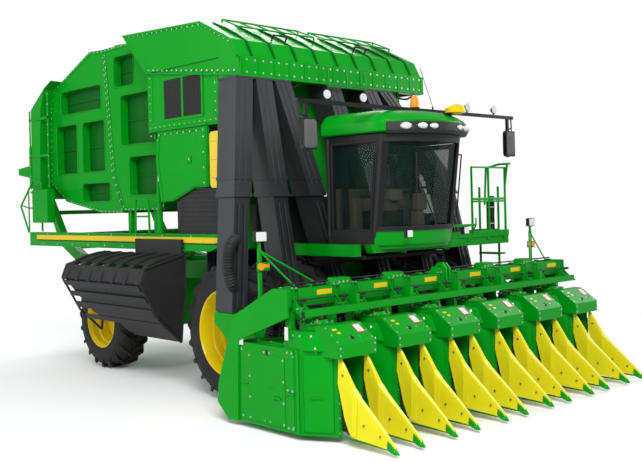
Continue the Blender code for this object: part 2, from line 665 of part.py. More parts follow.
def make_intake():
    """Black scoop outside the right side beam: open at the top, cut away round the tyre."""
    section = ((-1.92, 1.98), (-1.94, 1.40), (-2.02, 0.68), (-2.40, 1.05), (-2.70, 1.60),
               (-2.62, 1.80))
    front, rear = 4.90, 7.25
    outer = plate(section, "y", (front, rear))
    inner = plate(((-1.97, 2.2), (-1.99, 1.40), (-2.04, 0.78), (-2.37, 1.08), (-2.66, 1.60),
                   (-2.45, 2.2)), "y", (front + SHEET, rear + 0.2))
    arch = plate(((6.20, 0.4), (6.20, 0.72), (6.60, 0.82), (6.85, 1.08), (7.05, 1.35),
                  (7.25, 1.70), (7.6, 1.70), (7.6, 0.4)), "x", (-3, -1.5))
    wheel_room = box((-2.25, -1.8), (6.30, 7.6), (0.4, 1.78))
    scoop = cut(outer, inner, arch, wheel_room)
    straps = [box((-2.60, -1.95), (y, y + 0.05), (1.70, 1.74)) for y in (5.2, 5.7, 6.2)]
    hanger = box((-1.95, -1.90 - FIT), (4.95, 6.25), (1.80, 2.20))
    part("intake_hood", join(scoop, *straps, hanger), "black")


# ---- cab -------------------------------------------------------------------
CAB_PLAN = ((-0.88, CAB_REAR_Y), (-0.80, 1.86), (-0.48, 1.60), (0.0, 1.50), (0.48, 1.60),
            (0.80, 1.86), (0.88, CAB_REAR_Y))
DOOR_HINGE = (0.885, 2.785)
DOOR_Z = (2.20, 3.52)
CAB_LEAN = 0.27           # how far the foot of the windscreen stands behind its top


def cab_section(z, wall=0.0):
    low, high = 2.12, CAB_Z[1]
    back = CAB_LEAN * (high - z) / (high - low)
    points = []
    for x, y in inset(CAB_PLAN, wall):
        share = (CAB_REAR_Y - y) / (CAB_REAR_Y - 1.5)
        points.append((x, y + back * share, z))
    return points


def make_cab():
    low, high = CAB_Z
    wall = CAB_WALL
    shell = loft([cab_section(low), cab_section(high)])
    room = loft([cab_section(low + wall, wall), cab_section(high - wall, wall)])
    screen = loft([[(x, y, z) for x, y in ((-0.72, 1.2), (0.72, 1.2), (0.72, 2.05), (-0.72, 2.05))]
                   for z in (2.34, 3.50)])
    side = plate(((2.12, 2.32), (2.76, 2.32), (2.76, 3.48), (1.98, 3.48)), "x", (-1.2, -0.6))
    door = plate(((2.15, DOOR_Z[0]), (2.82, DOOR_Z[0]), (2.82, DOOR_Z[1]), (1.92, DOOR_Z[1])),
                 "x", (0.6, 1.2))
    rear = box((-0.60, 0.60), (CAB_REAR_Y - 0.2, CAB_REAR_Y + 0.2), (2.90, 3.40))
    # hinge pins stand from the sill and the lintel, over the door's edge
    pins = [cylinder("z", (*DOOR_HINGE, 0), 0.015, ends, 12)
            for ends in ((DOOR_Z[0] - 0.02, DOOR_Z[0] + RUNNING - FIT),
                         (DOOR_Z[1] - RUNNING + FIT, DOOR_Z[1] + 0.02))]
    ears = [box((0.85, 0.90), (2.76, 2.82), ends)
            for ends in ((DOOR_Z[0] - 0.03, DOOR_Z[0] - 0.01), (DOOR_Z[1] + 0.01, DOOR_Z[1] + 0.03))]
    part("cab_shell", join(cut(shell, room, screen, side, door, rear), *pins, *ears), "black")
    plan = [(x * 1.06, CAB_REAR_Y + 0.02 + (y - CAB_REAR_Y) * 1.06) for x, y in CAB_PLAN]
    inner = [(x * 0.94, CAB_REAR_Y - 0.04 + (y - CAB_REAR_Y) * 0.94) for x, y in CAB_PLAN]
    roof = loft([[(x, y, CAB_ROOF_Z[0]) for x, y in plan],
                 [(x, y, CAB_ROOF_Z[0] + 0.18) for x, y in plan],
                 [(x, y, CAB_ROOF_Z[1]) for x, y in inner]])
    part("cab_roof", roof, "green")


def make_door():
    hinge = DOOR_HINGE
    body = new_body("cab_door_hinge", (*hinge, 2.86), MACHINE)
    gap = RUNNING
    low, high = DOOR_Z[0] + gap, DOOR_Z[1] - gap
    outline = ((2.15 + gap, low), (2.82 - gap, low), (2.82 - gap, high), (1.92 + gap, high))
    window = ((2.17, 2.50), (2.70, 2.50), (2.70, 3.44), (2.03, 3.44))
    leaf = plate(outline, "x", (0, 0.04), [window])
    # the door follows the cab's side, which closes in towards the front
    lean = Matrix.Translation((hinge[0] - 0.023, hinge[1], 0)) @ Matrix.Rotation(
        -math.atan2(0.08, CAB_REAR_Y - 1.86), 4, "Z") @ Matrix.Translation((0, -hinge[1], 0))
    leaf.data.transform(lean)
    part("cab_door", leaf, "black", body)


def make_cab_inside():
    floor = CAB_Z[0] + CAB_WALL + FIT
    base = join(box((-0.20, 0.20), (2.30, 2.65), (floor, floor + 0.10)),
                box((-0.13, 0.13), (2.36, 2.60), (floor + 0.08, floor + 0.40)))
    seat = floor + 0.40 + FIT
    part("seat_cushion", box((-0.25, 0.25), (2.16, 2.62), (seat, seat + 0.13)), "fabric")
    back = plate(((2.60, seat + 0.13 + FIT), (2.72, seat + 0.13 + FIT), (2.78, seat + 0.72),
                  (2.68, seat + 0.72)), "x", (-0.23, 0.23))
    part("seat_back", back, "fabric")
    console = join(base, box((-0.40, -0.10), (2.40, 2.55), (floor + 0.20, floor + 0.30)),
                   box((-0.46, -0.29), (2.15, 2.65), (floor, floor + 0.62)),
                   box((-0.42, -0.32), (2.05, 2.25), (floor + 0.50, floor + 0.70)))
    part("seat_pedestal", console, "black")
    column = join(
        plate(((1.98, floor), (2.08, floor), (2.02, floor + 0.72), (1.94, floor + 0.70)), "x",
              (-0.05, 0.05)),
        cylinder("z", (0, 1.99, 0), 0.19, (floor + 0.69, floor + 0.72)))
    part("steering_column", column, "black")


def make_mirror_bar():
    """One bar across the roof, with a mirror hanging at each end."""
    roof = CAB_ROOF_Z[1] + FIT
    shapes = [box((-2.24, 2.24), (1.90, 1.94), (roof, roof + 0.05))]
    shapes += both(lambda s: box(span(s, 2.08, 2.12), (1.90, 1.94), (3.34, roof + 0.02)))
    shapes += both(lambda s: box(span(s, 1.98, 2.20), (1.85, 1.91), (3.35, 3.74)))
    part("mirror_bar", join(*shapes), "black")


def make_platform():
    front, back, low, high = 2.30, 2.98, 1.98, 2.18
    inner, outer = 0.905, 2.60
    first, middle = 1.70, 2.13               # rail posts, clear of the door's swing
    sill = ((-0.86, 2.00), (0.93, 2.00), (0.93, 2.115), (-0.90, 2.115))
    deck = join(box((inner, outer), (front, back - 0.06), (2.12 + FIT, high)),
                box((inner, outer), (front, front + 0.04), (low, high)),
                plate(sill, "y", (2.02, CAB_BEAM_Y[0] - FIT)),
                box((inner, 0.93), (2.03, front + 0.02), (2.01, 2.11)))
    part("platform_deck", deck, "green")
    radius, top = 0.02, 3.20
    foot = high + FIT
    rail = join(tube(((outer - 0.03, front + 0.03, foot), (outer - 0.03, front + 0.03, top),
                      (first, front + 0.03, top), (first, front + 0.03, foot)), radius),
                tube(((outer - 0.03, front + 0.03, 2.70), (first, front + 0.03, 2.70)), radius),
                tube(((middle, front + 0.03, foot), (middle, front + 0.03, top)), radius))
    part("platform_handrail", rail, "green")
    shapes = [tube(((2.64, y, top - 0.3), (2.64, y, 1.0), (2.72, y, 0.55)), radius)
              for y in (2.52, 2.90)]
    for step in range(6):
        z = 0.62 + 0.29 * step
        shapes.append(box((2.62, 2.78), (2.50, 2.92), (z, z + 0.03)))
    shapes.append(box((outer + FIT, 2.66), (2.50, 2.92), (2.02, 2.16)))
    part("boarding_ladder", join(*shapes), "green")


# ---- the whole machine -----------------------------------------------------
def make_machine():
    make_chassis()
    make_front_axle()
    make_rear_axle()
    make_engine()
    for side, name in ((-1, "right"), (1, "left")):
        make_front_wheels(side, name)
        make_rear_wheel(side, name)
    header = new_body("header_lift", (0, LIFT_Y, LIFT_Z), MACHINE)
    make_toolbar(header)
    for row in range(ROW_COUNT):
        make_row_unit(row, header)
        make_lifters(row, header)
        make_lower_duct(row)
    make_upper_ducts("right", range(3))
    make_upper_ducts("left", range(3, ROW_COUNT))
    make_accumulator()
    make_hood()
    make_side_pieces()
    make_chamber()
    make_gate()
    make_handler()
    make_intake()
    make_cab()
    make_door()
    make_cab_inside()
    make_mirror_bar()
    make_platform()


make_machine()
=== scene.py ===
"""Looks of a six-row cotton picker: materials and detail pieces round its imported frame."""

import json
import math
import random

import bmesh
import bpy
from mathutils import Matrix, Vector


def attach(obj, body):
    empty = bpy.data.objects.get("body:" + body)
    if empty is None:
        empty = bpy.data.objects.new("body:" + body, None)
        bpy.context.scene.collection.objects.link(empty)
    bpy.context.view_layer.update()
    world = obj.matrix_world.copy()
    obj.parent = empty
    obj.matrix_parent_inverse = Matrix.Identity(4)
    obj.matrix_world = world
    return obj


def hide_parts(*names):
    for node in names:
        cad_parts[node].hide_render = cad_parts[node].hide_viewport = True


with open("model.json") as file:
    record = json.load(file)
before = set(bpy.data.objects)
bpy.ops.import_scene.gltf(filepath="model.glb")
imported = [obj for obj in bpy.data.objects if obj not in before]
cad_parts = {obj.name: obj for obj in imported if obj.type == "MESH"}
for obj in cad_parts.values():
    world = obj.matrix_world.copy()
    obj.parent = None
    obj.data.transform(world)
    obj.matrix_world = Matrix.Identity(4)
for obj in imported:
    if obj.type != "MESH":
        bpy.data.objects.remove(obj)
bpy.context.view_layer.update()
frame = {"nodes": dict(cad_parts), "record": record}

MIDDLE_Y = 5.45          # the part's own origin, measured back from the lifter tips
ROW_PITCH = 0.965
ROWS = range(1, 7)
SIDES = ((-1, "right"), (1, "left"))
GREEN, YELLOW, BLACK = "green_paint", "yellow_paint", "black_paint"


# ---- shader nodes as expressions --------------------------------------------
class Socket:
    """An output of a shader node, on which arithmetic adds Math nodes."""

    def __init__(self, tree, output):
        self.tree, self.output = tree, output

    def math(self, operation, *values):
        return node(self.tree, "ShaderNodeMath", {"operation": operation},
                    dict(enumerate((self, *values))))

    def __add__(self, other):
        return self.math("ADD", other)

    def __sub__(self, other):
        return self.math("SUBTRACT", other)

    def __mul__(self, other):
        return self.math("MULTIPLY", other)

    def __truediv__(self, other):
        return self.math("DIVIDE", other)

    def __pow__(self, other):
        return self.math("POWER", other)

    def __radd__(self, other):
        return self.math("ADD", other)

    def __rmul__(self, other):
        return self.math("MULTIPLY", other)

    def __rsub__(self, other):
        return self.math("MULTIPLY", -1.0) + other

    def over(self, level):
        return self.math("GREATER_THAN", level)

    def clamp(self):
        return self.math("MAXIMUM", 0.0).math("MINIMUM", 1.0)


def node(tree, kind, settings=None, values=None, output=0):
    """Adds a node: settings are set first, then the values or links of its sockets."""
    made = tree.nodes.new(kind)
    for name, value in (settings or {}).items():
        if name == "stops":
            ramp = made.color_ramp.elements
            while len(ramp) < len(value):
                ramp.new(0.5)
            for stop, (place, shade) in zip(ramp, value):
                stop.position, stop.color = place, (shade, shade, shade, 1)
        else:
            setattr(made, name, value)
    for name, value in (values or {}).items():
        if isinstance(value, Socket):
            tree.links.new(value.output, made.inputs[name])
        else:
            made.inputs[name].default_value = value
    return Socket(tree, made.outputs[output])


class Material:
    """A Principled material, built from one place vector in metres."""

    def __init__(self, name, **constants):
        self.made = bpy.data.materials.new(name)
        self.made.use_nodes = True
        self.tree = self.made.node_tree
        self.shader = self.tree.nodes["Principled BSDF"]
        for socket, value in constants.items():
            socket = socket.replace("_", " ").title().replace("Ior", "IOR")
            self.shader.inputs[socket].default_value = value
        self.place = node(self.tree, "ShaderNodeTexCoord", output=3)

    def link(self, socket, value):
        self.tree.links.new(value.output, self.shader.inputs[socket])

    def noise(self, scale, detail=3.0, rough=0.5, stretch=None):
        place = self.place
        if stretch:
            place = node(self.tree, "ShaderNodeVectorMath", {"operation": "MULTIPLY"},
                         {0: place, 1: stretch})
        return node(self.tree, "ShaderNodeTexNoise", {},
                    {"Vector": place, "Scale": scale, "Detail": detail, "Roughness": rough})

    def cells(self, scale, feature="F1"):
        return node(self.tree, "ShaderNodeTexVoronoi", {"feature": feature},
                    {"Vector": self.place, "Scale": scale})

    def axis(self, index):
        return node(self.tree, "ShaderNodeSeparateXYZ", {}, {0: self.place}, index)

    def mix(self, mask, low, high):
        """The colour low where mask is 0 and high where it is 1."""
        return node(self.tree, "ShaderNodeMix", {"data_type": "RGBA"},
                    {0: mask, 6: low, 7: high}, 2)

    def bump(self, height, distance, strength=1.0):
        self.link("Normal", node(self.tree, "ShaderNodeBump", {},
                                 {"Height": height, "Distance": distance,
                                  "Strength": strength}))


def rgb(red, green, blue):
    return (red, green, blue, 1.0)


MATERIALS = {}


def finish_of(name):
    return MATERIALS[name]


def paint(name, colour, deep, rough=0.28, coat=0.05, shine=0.08):
    """Sprayed enamel with faint orange peel, dust that dulls it and slightly uneven tone."""
    m = Material(name, coat_weight=coat, coat_roughness=0.08, specular_ior_level=shine)
    cloud = m.noise(1.3, 4.0)
    dust = (m.noise(7.0, 6.0, 0.65) - 0.42).clamp()
    m.link("Base Color", m.mix(cloud, colour, deep))
    m.link("Roughness", rough + dust * 0.45)
    m.bump(m.noise(160.0, 2.0), 0.0004, 0.35)
    MATERIALS[name] = m.made


def moulded(name, colour, pale, rough=0.5, grain=220.0, depth=0.0008):
    """Moulded plastic or cast surface with a fine grain."""
    m = Material(name, specular_ior_level=0.25)
    m.link("Base Color", m.mix(m.noise(2.2, 4.0), colour, pale))
    m.link("Roughness", rough + m.noise(30.0, 3.0) * 0.18)
    m.bump(m.cells(grain), depth, 0.4)
    MATERIALS[name] = m.made


def metal(name, colour, dull, rough=0.3, level=1.0):
    m = Material(name, metallic=level)
    scratch = m.noise(60.0, 5.0, 0.6, (1.0, 1.0, 8.0))
    m.link("Base Color", m.mix(scratch, colour, dull))
    m.link("Roughness", rough + scratch * 0.2)
    m.bump(m.noise(300.0, 2.0), 0.0003, 0.3)
    MATERIALS[name] = m.made


def make_materials():
    paint(GREEN, rgb(0.0, 0.255, 0.009), rgb(0.0, 0.215, 0.007))
    # painted shade: a darker copy of the green paint, for the recessed inner sheets of the chamber and
    # the shadow lines of the hood's ribs
    paint("green_painted_shade", rgb(0.0, 0.105, 0.005), rgb(0.0, 0.075, 0.004), 0.34)
    paint(YELLOW, rgb(0.62, 0.45, 0.003), rgb(0.56, 0.40, 0.002), 0.25, 0.25)
    # wear and painted highlight: a paler yellow for the upward faces of the lifters' ridges
    paint("ridge_yellow_wear_and_highlight", rgb(0.68, 0.63, 0.13), rgb(0.64, 0.58, 0.09), 0.4)
    paint("lifter_yellow", rgb(0.62, 0.56, 0.012), rgb(0.56, 0.50, 0.008), 0.35)
    paint(BLACK, rgb(0.008, 0.008, 0.009), rgb(0.014, 0.014, 0.015), 0.34)
    paint("duct_grey", rgb(0.010, 0.012, 0.012), rgb(0.018, 0.020, 0.021), 0.35, 0.1, 0.3)
    paint("duct_pale", rgb(0.014, 0.018, 0.018), rgb(0.024, 0.028, 0.028), 0.42, 0.1, 0.3)
    moulded("black_plastic", rgb(0.009, 0.009, 0.010), rgb(0.018, 0.018, 0.019), 0.5)
    moulded("cast_grey", rgb(0.05, 0.05, 0.05), rgb(0.09, 0.09, 0.09), 0.6, 90.0, 0.002)
    moulded("hose_rubber", rgb(0.008, 0.008, 0.008), rgb(0.02, 0.02, 0.02), 0.6)
    moulded("yellow_poly", rgb(0.72, 0.50, 0.035), rgb(0.60, 0.42, 0.03), 0.42, 130.0, 0.001)
    moulded("tan_plastic", rgb(0.20, 0.155, 0.10), rgb(0.25, 0.20, 0.13), 0.6)
    moulded("blank_label", rgb(0.60, 0.60, 0.59), rgb(0.52, 0.52, 0.51), 0.45)
    moulded("amber_lens", rgb(0.92, 0.27, 0.01), rgb(0.84, 0.20, 0.01), 0.15)
    moulded("red_lens", rgb(0.62, 0.015, 0.01), rgb(0.5, 0.01, 0.01), 0.15)
    metal("bright_steel", rgb(0.62, 0.62, 0.63), rgb(0.45, 0.45, 0.46))
    metal("worn_steel", rgb(0.30, 0.29, 0.28), rgb(0.20, 0.19, 0.18), 0.42)
    metal("brass_fitting", rgb(0.70, 0.48, 0.18), rgb(0.55, 0.36, 0.13))
    metal("mirror_glass", rgb(0.82, 0.84, 0.86), rgb(0.80, 0.82, 0.84), 0.02)
    tyre = Material("tyre_rubber", specular_ior_level=0.2)
    mud = (tyre.noise(3.5, 6.0, 0.62) - 0.45).clamp() * 1.6
    tyre.link("Base Color", tyre.mix(mud.clamp(), rgb(0.010, 0.010, 0.010),
                                     rgb(0.040, 0.038, 0.030)))
    tyre.link("Roughness", 0.62 + mud * 0.3)
    tyre.bump(tyre.noise(110.0, 4.0), 0.0015, 0.5)
    MATERIALS["tyre_rubber"] = tyre.made
    for name, low, high in (("seat_fabric", rgb(0.10, 0.095, 0.085), rgb(0.18, 0.17, 0.155)),
                            ("seat_trim", rgb(0.02, 0.12, 0.03), rgb(0.04, 0.20, 0.05))):
        cloth = Material(name, sheen_weight=0.4)
        weave = cloth.cells(420.0)
        cloth.link("Base Color", cloth.mix(weave, low, high))
        cloth.link("Roughness", 0.85 + weave * 0.1)
        cloth.bump(weave, 0.0012, 0.7)
        MATERIALS[name] = cloth.made
    for name, tint, alpha in (("clear_glass", rgb(0.004, 0.016, 0.012), 0.40),
                              ("lamp_lens", rgb(0.86, 0.88, 0.90), 0.55)):
        pane = Material(name, roughness=0.06, specular_ior_level=0.12)
        haze = (pane.noise(2.0, 4.0) - 0.4).clamp() * 0.08
        pane.link("Base Color", pane.mix(haze, tint, rgb(0.3, 0.34, 0.3)))
        pane.link("Alpha", alpha + haze)
        MATERIALS[name] = pane.made


# ---- mesh helpers ------------------------------------------------------------
def place(x, y, z):
    """A point of the part, with y measured back from the lifter tips."""
    return Vector((x, y - MIDDLE_Y, z))


def show(name, mesh, finish, body, smooth=False):
    """Makes a piece of a bmesh, in the part's own measure, and lets it ride on its body."""
    data = bpy.data.meshes.new(name)
    bmesh.ops.recalc_face_normals(mesh, faces=mesh.faces[:])
    mesh.to_mesh(data)
    mesh.free()
    data.transform(Matrix.Translation((0, -MIDDLE_Y, 0)))
    piece = bpy.data.objects.new(name, data)
    bpy.context.scene.collection.objects.link(piece)
    if smooth:
        data.set_sharp_from_angle(angle=math.radians(40))
    if smooth is not None:
        for face in data.polygons:
            face.use_smooth = smooth
    data.materials.append(finish_of(finish))
    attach(piece, body)
    return piece


def add_box(mesh, x, y, z, bevel=0.0, turn=None):
    """A box with rounded edges, from its lowest to its highest corner."""
    low, high = zip(x, y, z)
    size = [b - a for a, b in zip(low, high)]
    centre = Vector([(a + b) / 2 for a, b in zip(low, high)])
    matrix = Matrix.Translation(centre) @ (turn or Matrix.Identity(4)) @ Matrix.Diagonal((*size, 1))
    made = bmesh.ops.create_cube(mesh, size=1.0, matrix=matrix)
    if bevel:
        edges = list({edge for vert in made["verts"] for edge in vert.link_edges})
        bmesh.ops.bevel(mesh, geom=edges, offset=bevel, segments=2, affect="EDGES", profile=0.6)


def add_rod(mesh, start, end, radius, sides=12, end_radius=None):
    """A round bar between two points."""
    start, end = Vector(start), Vector(end)
    along = end - start
    turn = along.to_track_quat("Z", "Y").to_matrix().to_4x4()
    bmesh.ops.create_cone(mesh, cap_ends=True, segments=sides, radius1=radius,
                          radius2=radius if end_radius is None else end_radius,
                          depth=along.length,
                          matrix=Matrix.Translation((start + end) / 2) @ turn)


def add_bar(mesh, points, radius, sides=10):
    """A bent round bar: straight runs with a ball at each bend."""
    for start, end in zip(points, points[1:]):
        add_rod(mesh, start, end, radius, sides)
    for point in points[1:-1]:
        bmesh.ops.create_uvsphere(mesh, u_segments=sides, v_segments=sides // 2, radius=radius,
                                  matrix=Matrix.Translation(Vector(point)))


def add_bolt(mesh, point, normal, radius=0.011, height=0.008):
    """A hexagon head on its washer."""
    point, normal = Vector(point), Vector(normal).normalized()
    add_rod(mesh, point - normal * 0.001, point + normal * 0.0025, radius * 1.5, 12)
    add_rod(mesh, point, point + normal * height, radius, 6)


def on_line(start, end, count):
    """Evenly spaced points, both ends included."""
    start, end = Vector(start), Vector(end)
    return [start.lerp(end, step / max(count - 1, 1)) for step in range(count)]


def add_plate(mesh, outline, thickness, bevel=0.0):
    """A flat outline of 3-D points, thickened along its normal on the left of its turn."""
    verts = [mesh.verts.new(Vector(point)) for point in outline]
    face = mesh.faces.new(verts)
    face.normal_update()
    normal = face.normal.copy()
    made = bmesh.ops.extrude_face_region(mesh, geom=[face])
    top = [item for item in made["geom"] if isinstance(item, bmesh.types.BMVert)]
    bmesh.ops.translate(mesh, verts=top, vec=normal * thickness)
    face.normal_flip()
    if bevel:
        edges = [edge for vert in top for edge in vert.link_edges
                 if all(v in top for v in edge.verts)]
        bmesh.ops.bevel(mesh, geom=list(set(edges)), offset=bevel, segments=2, affect="EDGES")


def add_prism(mesh, outline, axis, low, high, bevel=0.0):
    """A flat outline, thick along an axis: (y, z) along x, (x, z) along y, (x, y) along z."""
    def point(u, v, w):
        return {"x": (w, u, v), "y": (u, w, v), "z": (u, v, w)}[axis]
    ends = [[mesh.verts.new(point(u, v, w)) for u, v in outline] for w in (low, high)]
    faces = [mesh.faces.new(ends[0]), mesh.faces.new(ends[1][::-1])]
    count = len(outline)
    for i in range(count):
        j = (i + 1) % count
        faces.append(mesh.faces.new((ends[0][j], ends[0][i], ends[1][i], ends[1][j])))
    if bevel:
        edges = list({edge for face in faces for edge in face.edges})
        bmesh.ops.bevel(mesh, geom=edges, offset=bevel, segments=1, affect="EDGES")


def add_loft(mesh, sections, capped=True):
    """Skins rings of equal length, and closes the two ends."""
    rings = [[mesh.verts.new(point) for point in ring] for ring in sections]
    count = len(rings[0])
    for low, high in zip(rings, rings[1:]):
        for i in range(count):
            j = (i + 1) % count
            mesh.faces.new((low[i], low[j], high[j], high[i]))
    if capped:
        mesh.faces.new(rings[0][::-1])
        mesh.faces.new(rings[-1])


def add_lathe(mesh, loop, centre, segments=64, axis="x"):
    """Turns a closed loop of (place along the axis, radius) round the axis."""
    rings = []
    for step in range(segments):
        a = 2 * math.pi * step / segments
        ring = []
        for u, r in loop:
            p, q = r * math.cos(a), r * math.sin(a)
            ring.append({"x": (u, centre[1] + p, centre[2] + q),
                         "y": (centre[0] + p, u, centre[2] + q),
                         "z": (centre[0] + p, centre[1] + q, u)}[axis])
        rings.append([mesh.verts.new(point) for point in ring])
    count = len(loop)
    for low, high in zip(rings, rings[1:] + rings[:1]):
        for i in range(count):
            j = (i + 1) % count
            mesh.faces.new((low[i], low[j], high[j], high[i]))


def smooth_path(points, per_span=6):
    """Catmull-Rom points through the given ones."""
    points = [Vector(point) for point in points]
    ends = [points[0] * 2 - points[1], *points, points[-1] * 2 - points[-2]]
    path = []
    for a, b, c, d in zip(ends, ends[1:], ends[2:], ends[3:]):
        for step in range(per_span):
            t = step / per_span
            path.append(0.5 * ((2 * b) + (c - a) * t + (2 * a - 5 * b + 4 * c - d) * t * t
                               + (3 * b - a - 3 * c + d) * t ** 3))
    return path + [points[-1]]


def add_hose(mesh, points, radius, sides=10, rib=0.0, pitch=0.03):
    """A hose along a smooth path. With a rib height it is corrugated at that pitch."""
    path = smooth_path(points)
    if rib:
        fine = [path[0]]
        for a, b in zip(path, path[1:]):
            steps = max(1, round((b - a).length / (pitch / 4)))
            fine += [a.lerp(b, (i + 1) / steps) for i in range(steps)]
        path = fine
    side = (path[1] - path[0]).orthogonal().normalized()
    rings, run = [], 0.0
    for i, point in enumerate(path):
        ahead, behind = path[min(i + 1, len(path) - 1)], path[max(i - 1, 0)]
        along = (ahead - behind).normalized()
        side = (side - along * side.dot(along)).normalized()
        across = along.cross(side)
        run += (point - behind).length
        r = radius + rib * math.sin(2 * math.pi * run / pitch)
        rings.append([point + (side * math.cos(2 * math.pi * k / sides)
                               + across * math.sin(2 * math.pi * k / sides)) * r
                      for k in range(sides)])
    add_loft(mesh, rings)


def add_bolts(mesh, rows, radius=0.011):
    """Rows of bolts: (start, end, count, the way the heads point)."""
    for start, end, count, normal in rows:
        for point in on_line(start, end, count):
            add_bolt(mesh, point, normal, radius)


def paint_faces(piece, finish, wanted):
    """Gives a second finish to the faces whose middle passes a test, in the part's measure."""
    piece.data.materials.append(finish_of(finish))
    for face in piece.data.polygons:
        if wanted(face.center + Vector((0, MIDDLE_Y, 0)), face.normal):
            face.material_index = len(piece.data.materials) - 1


# ---- wheels --------------------------------------------------------------------
FRONT = {"y": 3.59, "radius": 0.95, "rim": 0.57, "width": 0.52}
REAR = {"y": 7.41, "radius": 0.80, "rim": 0.43, "width": 0.50}


def make_tyre(name, body, x, size, lugs, hand):
    """A farm tyre: rounded carcass and two rows of slanted lugs that meet at the crown."""
    radius, rim, half = size["radius"], size["rim"], size["width"] / 2
    centre = (0, size["y"], radius)
    mesh = bmesh.new()
    wall = ((half - 0.035, rim + 0.002), (half - 0.012, rim + 0.004), (half - 0.004, rim + 0.03),
            (half - 0.012, rim + 0.05), (half - 0.002, rim + 0.09), (half, (radius + rim) / 2),
            (half - 0.006, radius - 0.17), (half - 0.02, radius - 0.10),
            (half - 0.055, radius - 0.062), (half * 0.5, radius - 0.05))
    loop = ([(x + u, r) for u, r in wall] + [(x, radius - 0.048)]
            + [(x - u, r) for u, r in reversed(wall)])
    loop += [(x - half + 0.06, rim + 0.03), (x + half - 0.06, rim + 0.03)]
    add_lathe(mesh, loop, centre, 72)
    carcass = set(mesh.faces)
    inner = ((0.004, radius - 0.06), (half * 0.45, radius - 0.065), (half * 0.8, radius - 0.08),
             (half - 0.012, radius - 0.15))
    outer = ((-0.012, radius - 0.003), (half * 0.45, radius - 0.004), (half * 0.86, radius - 0.014),
             (half + 0.002, radius - 0.125))
    turn, thick = 0.30, (0.030, 0.028, 0.030, 0.036)
    for side in (-1, 1):
        for lug in range(lugs):
            start = 2 * math.pi * (lug + (0.5 if side > 0 else 0)) / lugs
            rings = []
            for step, ((ui, ri), (uo, ro)) in enumerate(zip(inner, outer)):
                a = start + hand * turn * (ui / half) ** 0.9
                ring = []
                for u, r, edge in ((ui, ri, -1.25), (uo, ro, -0.8), (uo, ro, 0.8), (ui, ri, 1.25)):
                    b = a + edge * thick[step] / r
                    ring.append((x + side * u, centre[1] + r * math.cos(b),
                                 centre[2] + r * math.sin(b)))
                rings.append(ring)
            add_loft(mesh, rings)
    for face in mesh.faces:
        face.smooth = face in carcass
    piece = show("visual_" + name, mesh, "tyre_rubber", body, smooth=None)
    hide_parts(name)


def make_rim(name, body, side, loop, size, bolts):
    """A pressed wheel: the loop gives its section from the axle outwards."""
    mesh = bmesh.new()
    add_lathe(mesh, [(side * x, r) for x, r in loop], (0, size["y"], size["radius"]), 72)
    for x, ring, count, big in bolts:
        for step in range(count):
            a = 2 * math.pi * (step + 0.5) / count
            add_bolt(mesh, (side * x, size["y"] + ring * math.cos(a),
                            size["radius"] + ring * math.sin(a)), (side, 0, 0), big, 0.022)
    a = 0.7
    lip = Vector((side * (loop[0][0] - 0.02), size["y"] + (size["rim"] - 0.05) * math.cos(a),
                  size["radius"] + (size["rim"] - 0.05) * math.sin(a)))
    add_rod(mesh, lip, lip + Vector((side * 0.05, 0, 0)), 0.006, 8)
    piece = show("visual_" + name, mesh, YELLOW, body, smooth=True)
    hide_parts(name)
    return piece


def make_wheels():
    for side, name in SIDES:
        body = "front_wheels_" + name
        for x, place_name in ((0.965, "inner"), (1.93, "outer")):
            make_tyre(f"front_tyre_{name}_{place_name}", body, side * x, FRONT, 21, side)
        loop = ((2.178, 0.598), (2.186, 0.590), (2.186, 0.578), (2.170, 0.566), (2.140, 0.560),
                (2.120, 0.545), (2.020, 0.540), (2.000, 0.528), (1.990, 0.512), (1.900, 0.508),
                (1.885, 0.498), (1.875, 0.470), (1.800, 0.452), (1.792, 0.430), (1.800, 0.300),
                (1.830, 0.270), (1.836, 0.140), (1.860, 0.130), (1.865, 0.006), (1.780, 0.006),
                (1.780, 0.240), (1.200, 0.240), (1.200, 0.140), (1.168, 0.142), (1.166, 0.500),
                (0.735, 0.545), (0.735, 0.590), (0.742, 0.598), (0.760, 0.572), (1.180, 0.571),
                (1.190, 0.590), (1.198, 0.575), (1.200, 0.280), (1.760, 0.280), (1.765, 0.545),
                (1.700, 0.560), (1.690, 0.598), (1.700, 0.598), (1.715, 0.572), (2.150, 0.571))
        make_rim("front_rim_" + name, body, side, loop, FRONT, ((1.834, 0.20, 10, 0.018),))
        body = "rear_wheel_" + name
        make_tyre("rear_tyre_" + name, body, side * 1.71, REAR, 19, side)
        loop = ((1.948, 0.456), (1.955, 0.450), (1.955, 0.440), (1.940, 0.428), (1.915, 0.420),
                (1.900, 0.405), (1.820, 0.400), (1.805, 0.390), (1.795, 0.370), (1.740, 0.360),
                (1.700, 0.340), (1.640, 0.330), (1.632, 0.220), (1.660, 0.190), (1.664, 0.100),
                (1.690, 0.090), (1.694, 0.006), (1.640, 0.006), (1.612, 0.055), (1.612, 0.390),
                (1.480, 0.405), (1.468, 0.430), (1.468, 0.452), (1.475, 0.456), (1.490, 0.431),
                (1.930, 0.431))
        make_rim("rear_rim_" + name, body, side, loop, REAR, ((1.662, 0.145, 8, 0.016),))


